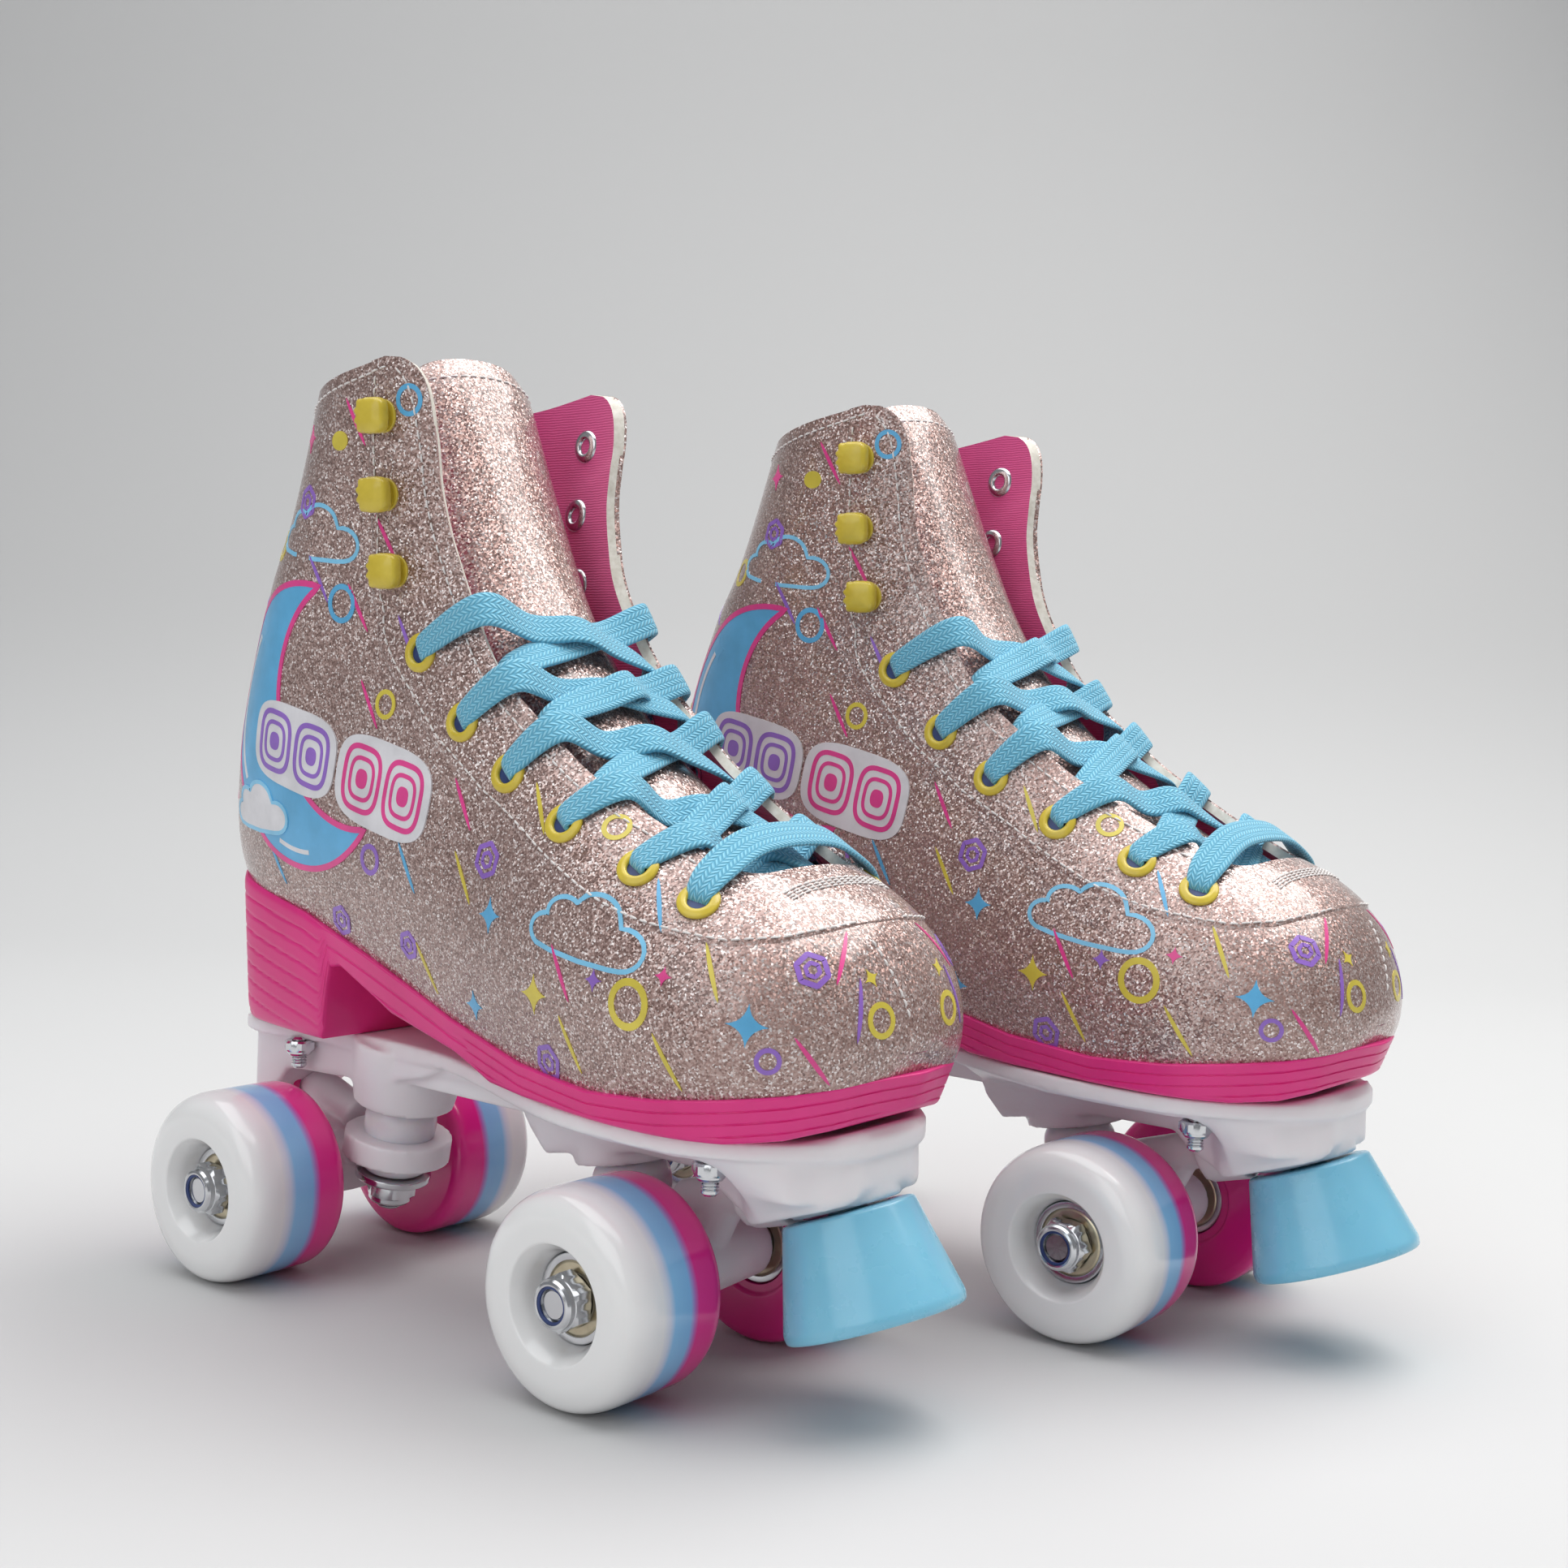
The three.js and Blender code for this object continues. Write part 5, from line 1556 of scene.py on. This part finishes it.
def moon(p):
    """A crescent with an outline and a highlight."""
    c1, r1, c2, r2 = np.array([7.8, 9.4]), 39.6, np.array([32.0, 17.1]), 34.5
    gap = c2 - c1
    d = np.linalg.norm(gap)
    a = (r1 ** 2 - r2 ** 2 + d ** 2) / (2 * d)
    h = math.sqrt(max(r1 ** 2 - a ** 2, 1))
    base, side = c1 + gap / d * a, np.array([-gap[1], gap[0]]) / d
    top, low = base + side * h, base - side * h
    ends1 = [math.atan2(*(q - c1)[::-1]) for q in (top, low)]
    ends2 = [math.atan2(*(q - c2)[::-1]) for q in (low, top)]
    a1 = np.linspace(ends1[0], ends1[1] + 2 * math.pi, 60)
    a2 = np.linspace(ends2[0] + 2 * math.pi, ends2[1], 46)[1:-1]

    def arc(centre, radius, turns):
        return [tuple(centre + radius * np.array([math.cos(t), math.sin(t)])) for t in turns]

    outline = arc(c1, r1, a1) + arc(c2, r2, a2)
    p.fill(outline, "blue")
    p.stroke(outline, 1.7, "pink", 1)
    p.stroke(arc(c1, r1 - 5, np.linspace(a1[14], a1[32], 20)), 1.5, "white", 1, closed=False)
    p.stroke(arc(c1, r1 - 4.5, np.linspace(a1[42], a1[48], 8)), 1.3, "white", 1, closed=False)


# Where each print is: u, p, then its sizes and ink.
RINGS = [(12.39, 0.56, 4.6, 1.5, "blue"), (15.36, 0.72, 3.6, 1.3, "blue"), (9.43, 0.55, 3.4, 1.3, "yellow"),
         (5.25, 0.83, 3.2, 1.3, "yellow"), (4.37, 0.37, 5.2, 1.8, "yellow"), (0.6, 0.84, 3.6, 1.4, "yellow"),
         (8.41, 0.24, 3.6, 1.4, "violet"), (14.6, 0.2, 3.8, 1.4, "yellow"), (2.3, 0.24, 2.6, 1.1, "violet")]
CLOUDS = [(13.96, 0.42, 34, "sky"), (5.14, 0.53, 38, "sky")]
HEXAGONS = [(6.80, 0.47, 4.4), (2.04, 0.78, 4.0), (8.54, 0.05, 4.0), (7.62, 0.12, 3.6), (5.56, 0.06, 4.4),
            (14.9, 0.33, 4.2)]
STARS = [(5.73, 0.25, 5.0, "yellow"), (1.3, 0.93, 2.4, "yellow"), (6.64, 0.1, 4.0, "blue"),
         (6.55, 0.36, 4.6, "blue"), (2.64, 0.41, 5.0, "blue"), (4.91, 0.40, 2.8, "violet"),
         (3.92, 0.52, 2.4, "pink"), (13.3, 0.22, 4.6, "blue"), (15.6, 0.25, 4.0, "pink"),
         (12.9, 0.08, 3.6, "yellow")]
STREAKS = [(13.13, 0.47, "violet"), (12.03, 0.61, "pink"), (9.73, 0.53, "pink"), (7.44, 0.52, "pink"),
           (5.39, 0.36, "pink"), (3.30, 0.60, "yellow"), (1.83, 0.9, "pink"), (1.02, 0.78, "violet"),
           (1.54, 0.27, "pink"), (5.23, 0.15, "yellow"), (3.79, 0.18, "yellow"), (7.10, 0.38, "yellow"),
           (7.35, 0.1, "yellow"), (7.89, 0.29, "blue"), (9.72, 0.10, "blue"), (9.94, 0.68, "violet"),
           (15.45, 0.51, "pink"), (12.72, 0.69, "pink"), (12.2, 0.06, "pink"), (14.2, 0.1, "violet"),
           (6.2, 0.7, "yellow"), (4.3, 0.74, "blue")]
BADGES = [(10.72, 0.365, "violet", 39), (8.68, 0.40, "pink", 41)]


def pattern(side):
    """Every print on one side of the boot."""
    prints = []

    def at(u, p, turn=0.0, flat=False):
        prints.append(Print(u, p, side, turn, flat))
        return prints[-1]

    moon(at(10.77, 0.335, flat=True))
    at(10.72, 0.20).fill(cloud(33), "white", 2).stroke(cloud(33), 1.2, "sky", 3)
    for u, p, ink, width in BADGES:
        q = at(u, p, -0.2)
        q.fill(lozenge(width, width * 0.6, 3.4), "white", 3)
        for x in (-0.225, 0.225):
            q.stroke(lozenge(width * 0.37, width * 0.42, 3.4, (x * width, 0)), 1.5, ink, 4)
            q.stroke(lozenge(width * 0.24, width * 0.27, 3.0, (x * width, 0)), 1.2, ink, 4)
            q.fill(lozenge(width * 0.12, width * 0.13, 2.5, (x * width, 0), 24), ink, 4, 2.0)
    for u, p, radius, wide, ink in RINGS:
        at(u, p).stroke(circle(radius), wide, ink)
    at(15.35, 0.45).fill([(x * 1.25, y) for x, y in circle(2.6, 24)], "yellow")
    for u, p, width, ink in CLOUDS:
        at(u, p, -0.12).stroke(cloud(width), 1.2, ink)
    for u, p, size in HEXAGONS:
        outer = circle(size, 6)
        inner = [(x * 0.45, y * 0.45) for x, y in outer]
        at(u, p, 0.3).stroke(along_edges(outer), 1.3, "violet").stroke(along_edges(inner), 1.0, "violet")
    for u, p, size, ink in STARS:
        at(u, p).fill(star(size), ink)
    for u, p, ink in STREAKS:
        at(u, p, -1.05).fill(streak(15.0, 1.15), ink)
    return together(*[s for q in prints for s in q.shapes])


make("printed_pattern", together(pattern(-1), pattern(1)), "skate", [INK[k] for k in INKS],
     crisp=60)


# ---- Stage ----------------------------------------------------------------------------------
def stage():
    """A pale floor that curves up into a plain backdrop, square to the camera."""
    camera = bpy.context.scene.camera
    look = camera.matrix_world.to_quaternion() @ Vector((0, 0, -1))
    yaw = math.atan2(look.y, look.x)
    mesh = bpy.data.meshes.new("backdrop")
    near, bend, radius = -3.0, 0.62, 0.8              # the floor's near end, and the curve at its far end
    rings = [(near + (bend - near) * (k / 14), 0.0) for k in range(15)]
    rings += [(bend + radius * math.sin(a), radius * (1 - math.cos(a)))
              for a in (k / 24 * math.pi / 2 for k in range(1, 25))]
    rings += [(1.42, radius + k * 0.2) for k in range(1, 17)]
    verts = [(x, y, z) for x, z in rings for y in (-4.0, 4.0)]
    mesh.from_pydata(verts, [], grid_faces(len(rings), 2))
    mesh.polygons.foreach_set("use_smooth", np.ones(len(mesh.polygons), bool))
    f = Finish("paper", (0.66, 0.66, 0.665), 0.75)
    height = f.node("ShaderNodeSeparateXYZ")
    f.link(f.place(), height.inputs[0])
    # The paper is painted lighter on the floor and darker up the backdrop: painted shade for the light that
    # falls off with height, over one grey paper.
    f.to("Base Color", f.ramp(f.math("MULTIPLY", height.outputs[2], 1.2), [
        (0.0, (0.585, 0.585, 0.585)), (0.3, (0.49, 0.49, 0.49)), (0.8, (0.50, 0.50, 0.50))], "EASE"))
    f.bump(f.noise(400.0), 0.0001, 0.1)
    mesh.materials.append(f.mat)
    obj = bpy.data.objects.new("backdrop", mesh)
    obj.matrix_world = Matrix.Rotation(yaw, 4, "Z")
    bpy.context.scene.collection.objects.link(obj)
    return yaw


def area_light(name, place, target, size, power, color=(1, 1, 1)):
    data = bpy.data.lights.new(name, "AREA")
    data.shape, data.size, data.size_y, data.energy, data.color = "RECTANGLE", size[0], size[1], power, color
    light = bpy.data.objects.new(name, data)
    light.matrix_world = Matrix.Translation(place) @ (Vector(target) - Vector(place)).to_track_quat("-Z",
            "Y").to_matrix().to_4x4()
    bpy.context.scene.collection.objects.link(light)


yaw = stage()


def around(forward, left, up):
    return (forward * math.cos(yaw) - left * math.sin(yaw), forward * math.sin(yaw) + left * math.cos(yaw),
            up)


area_light("key", around(0.25, -0.62, 1.3), (0, 0, 0.08), (1.3, 1.0), 17, (1.0, 0.99, 0.97))
area_light("top", around(0.0, 0.2, 1.6), (0, 0, 0.05), (1.8, 1.8), 21, (0.98, 0.99, 1.0))
area_light("fill", around(-1.3, 0.9, 0.8), (0, 0, 0.08), (1.4, 1.2), 7, (0.98, 0.99, 1.0))

world = bpy.data.worlds.new("world")
world.use_nodes = True
sky = world.node_tree.nodes["Background"].inputs
sky["Color"].default_value, sky["Strength"].default_value = (0.9, 0.92, 0.95, 1), 0.28
bpy.context.scene.world = world
bpy.context.scene.view_settings.view_transform = "Standard"
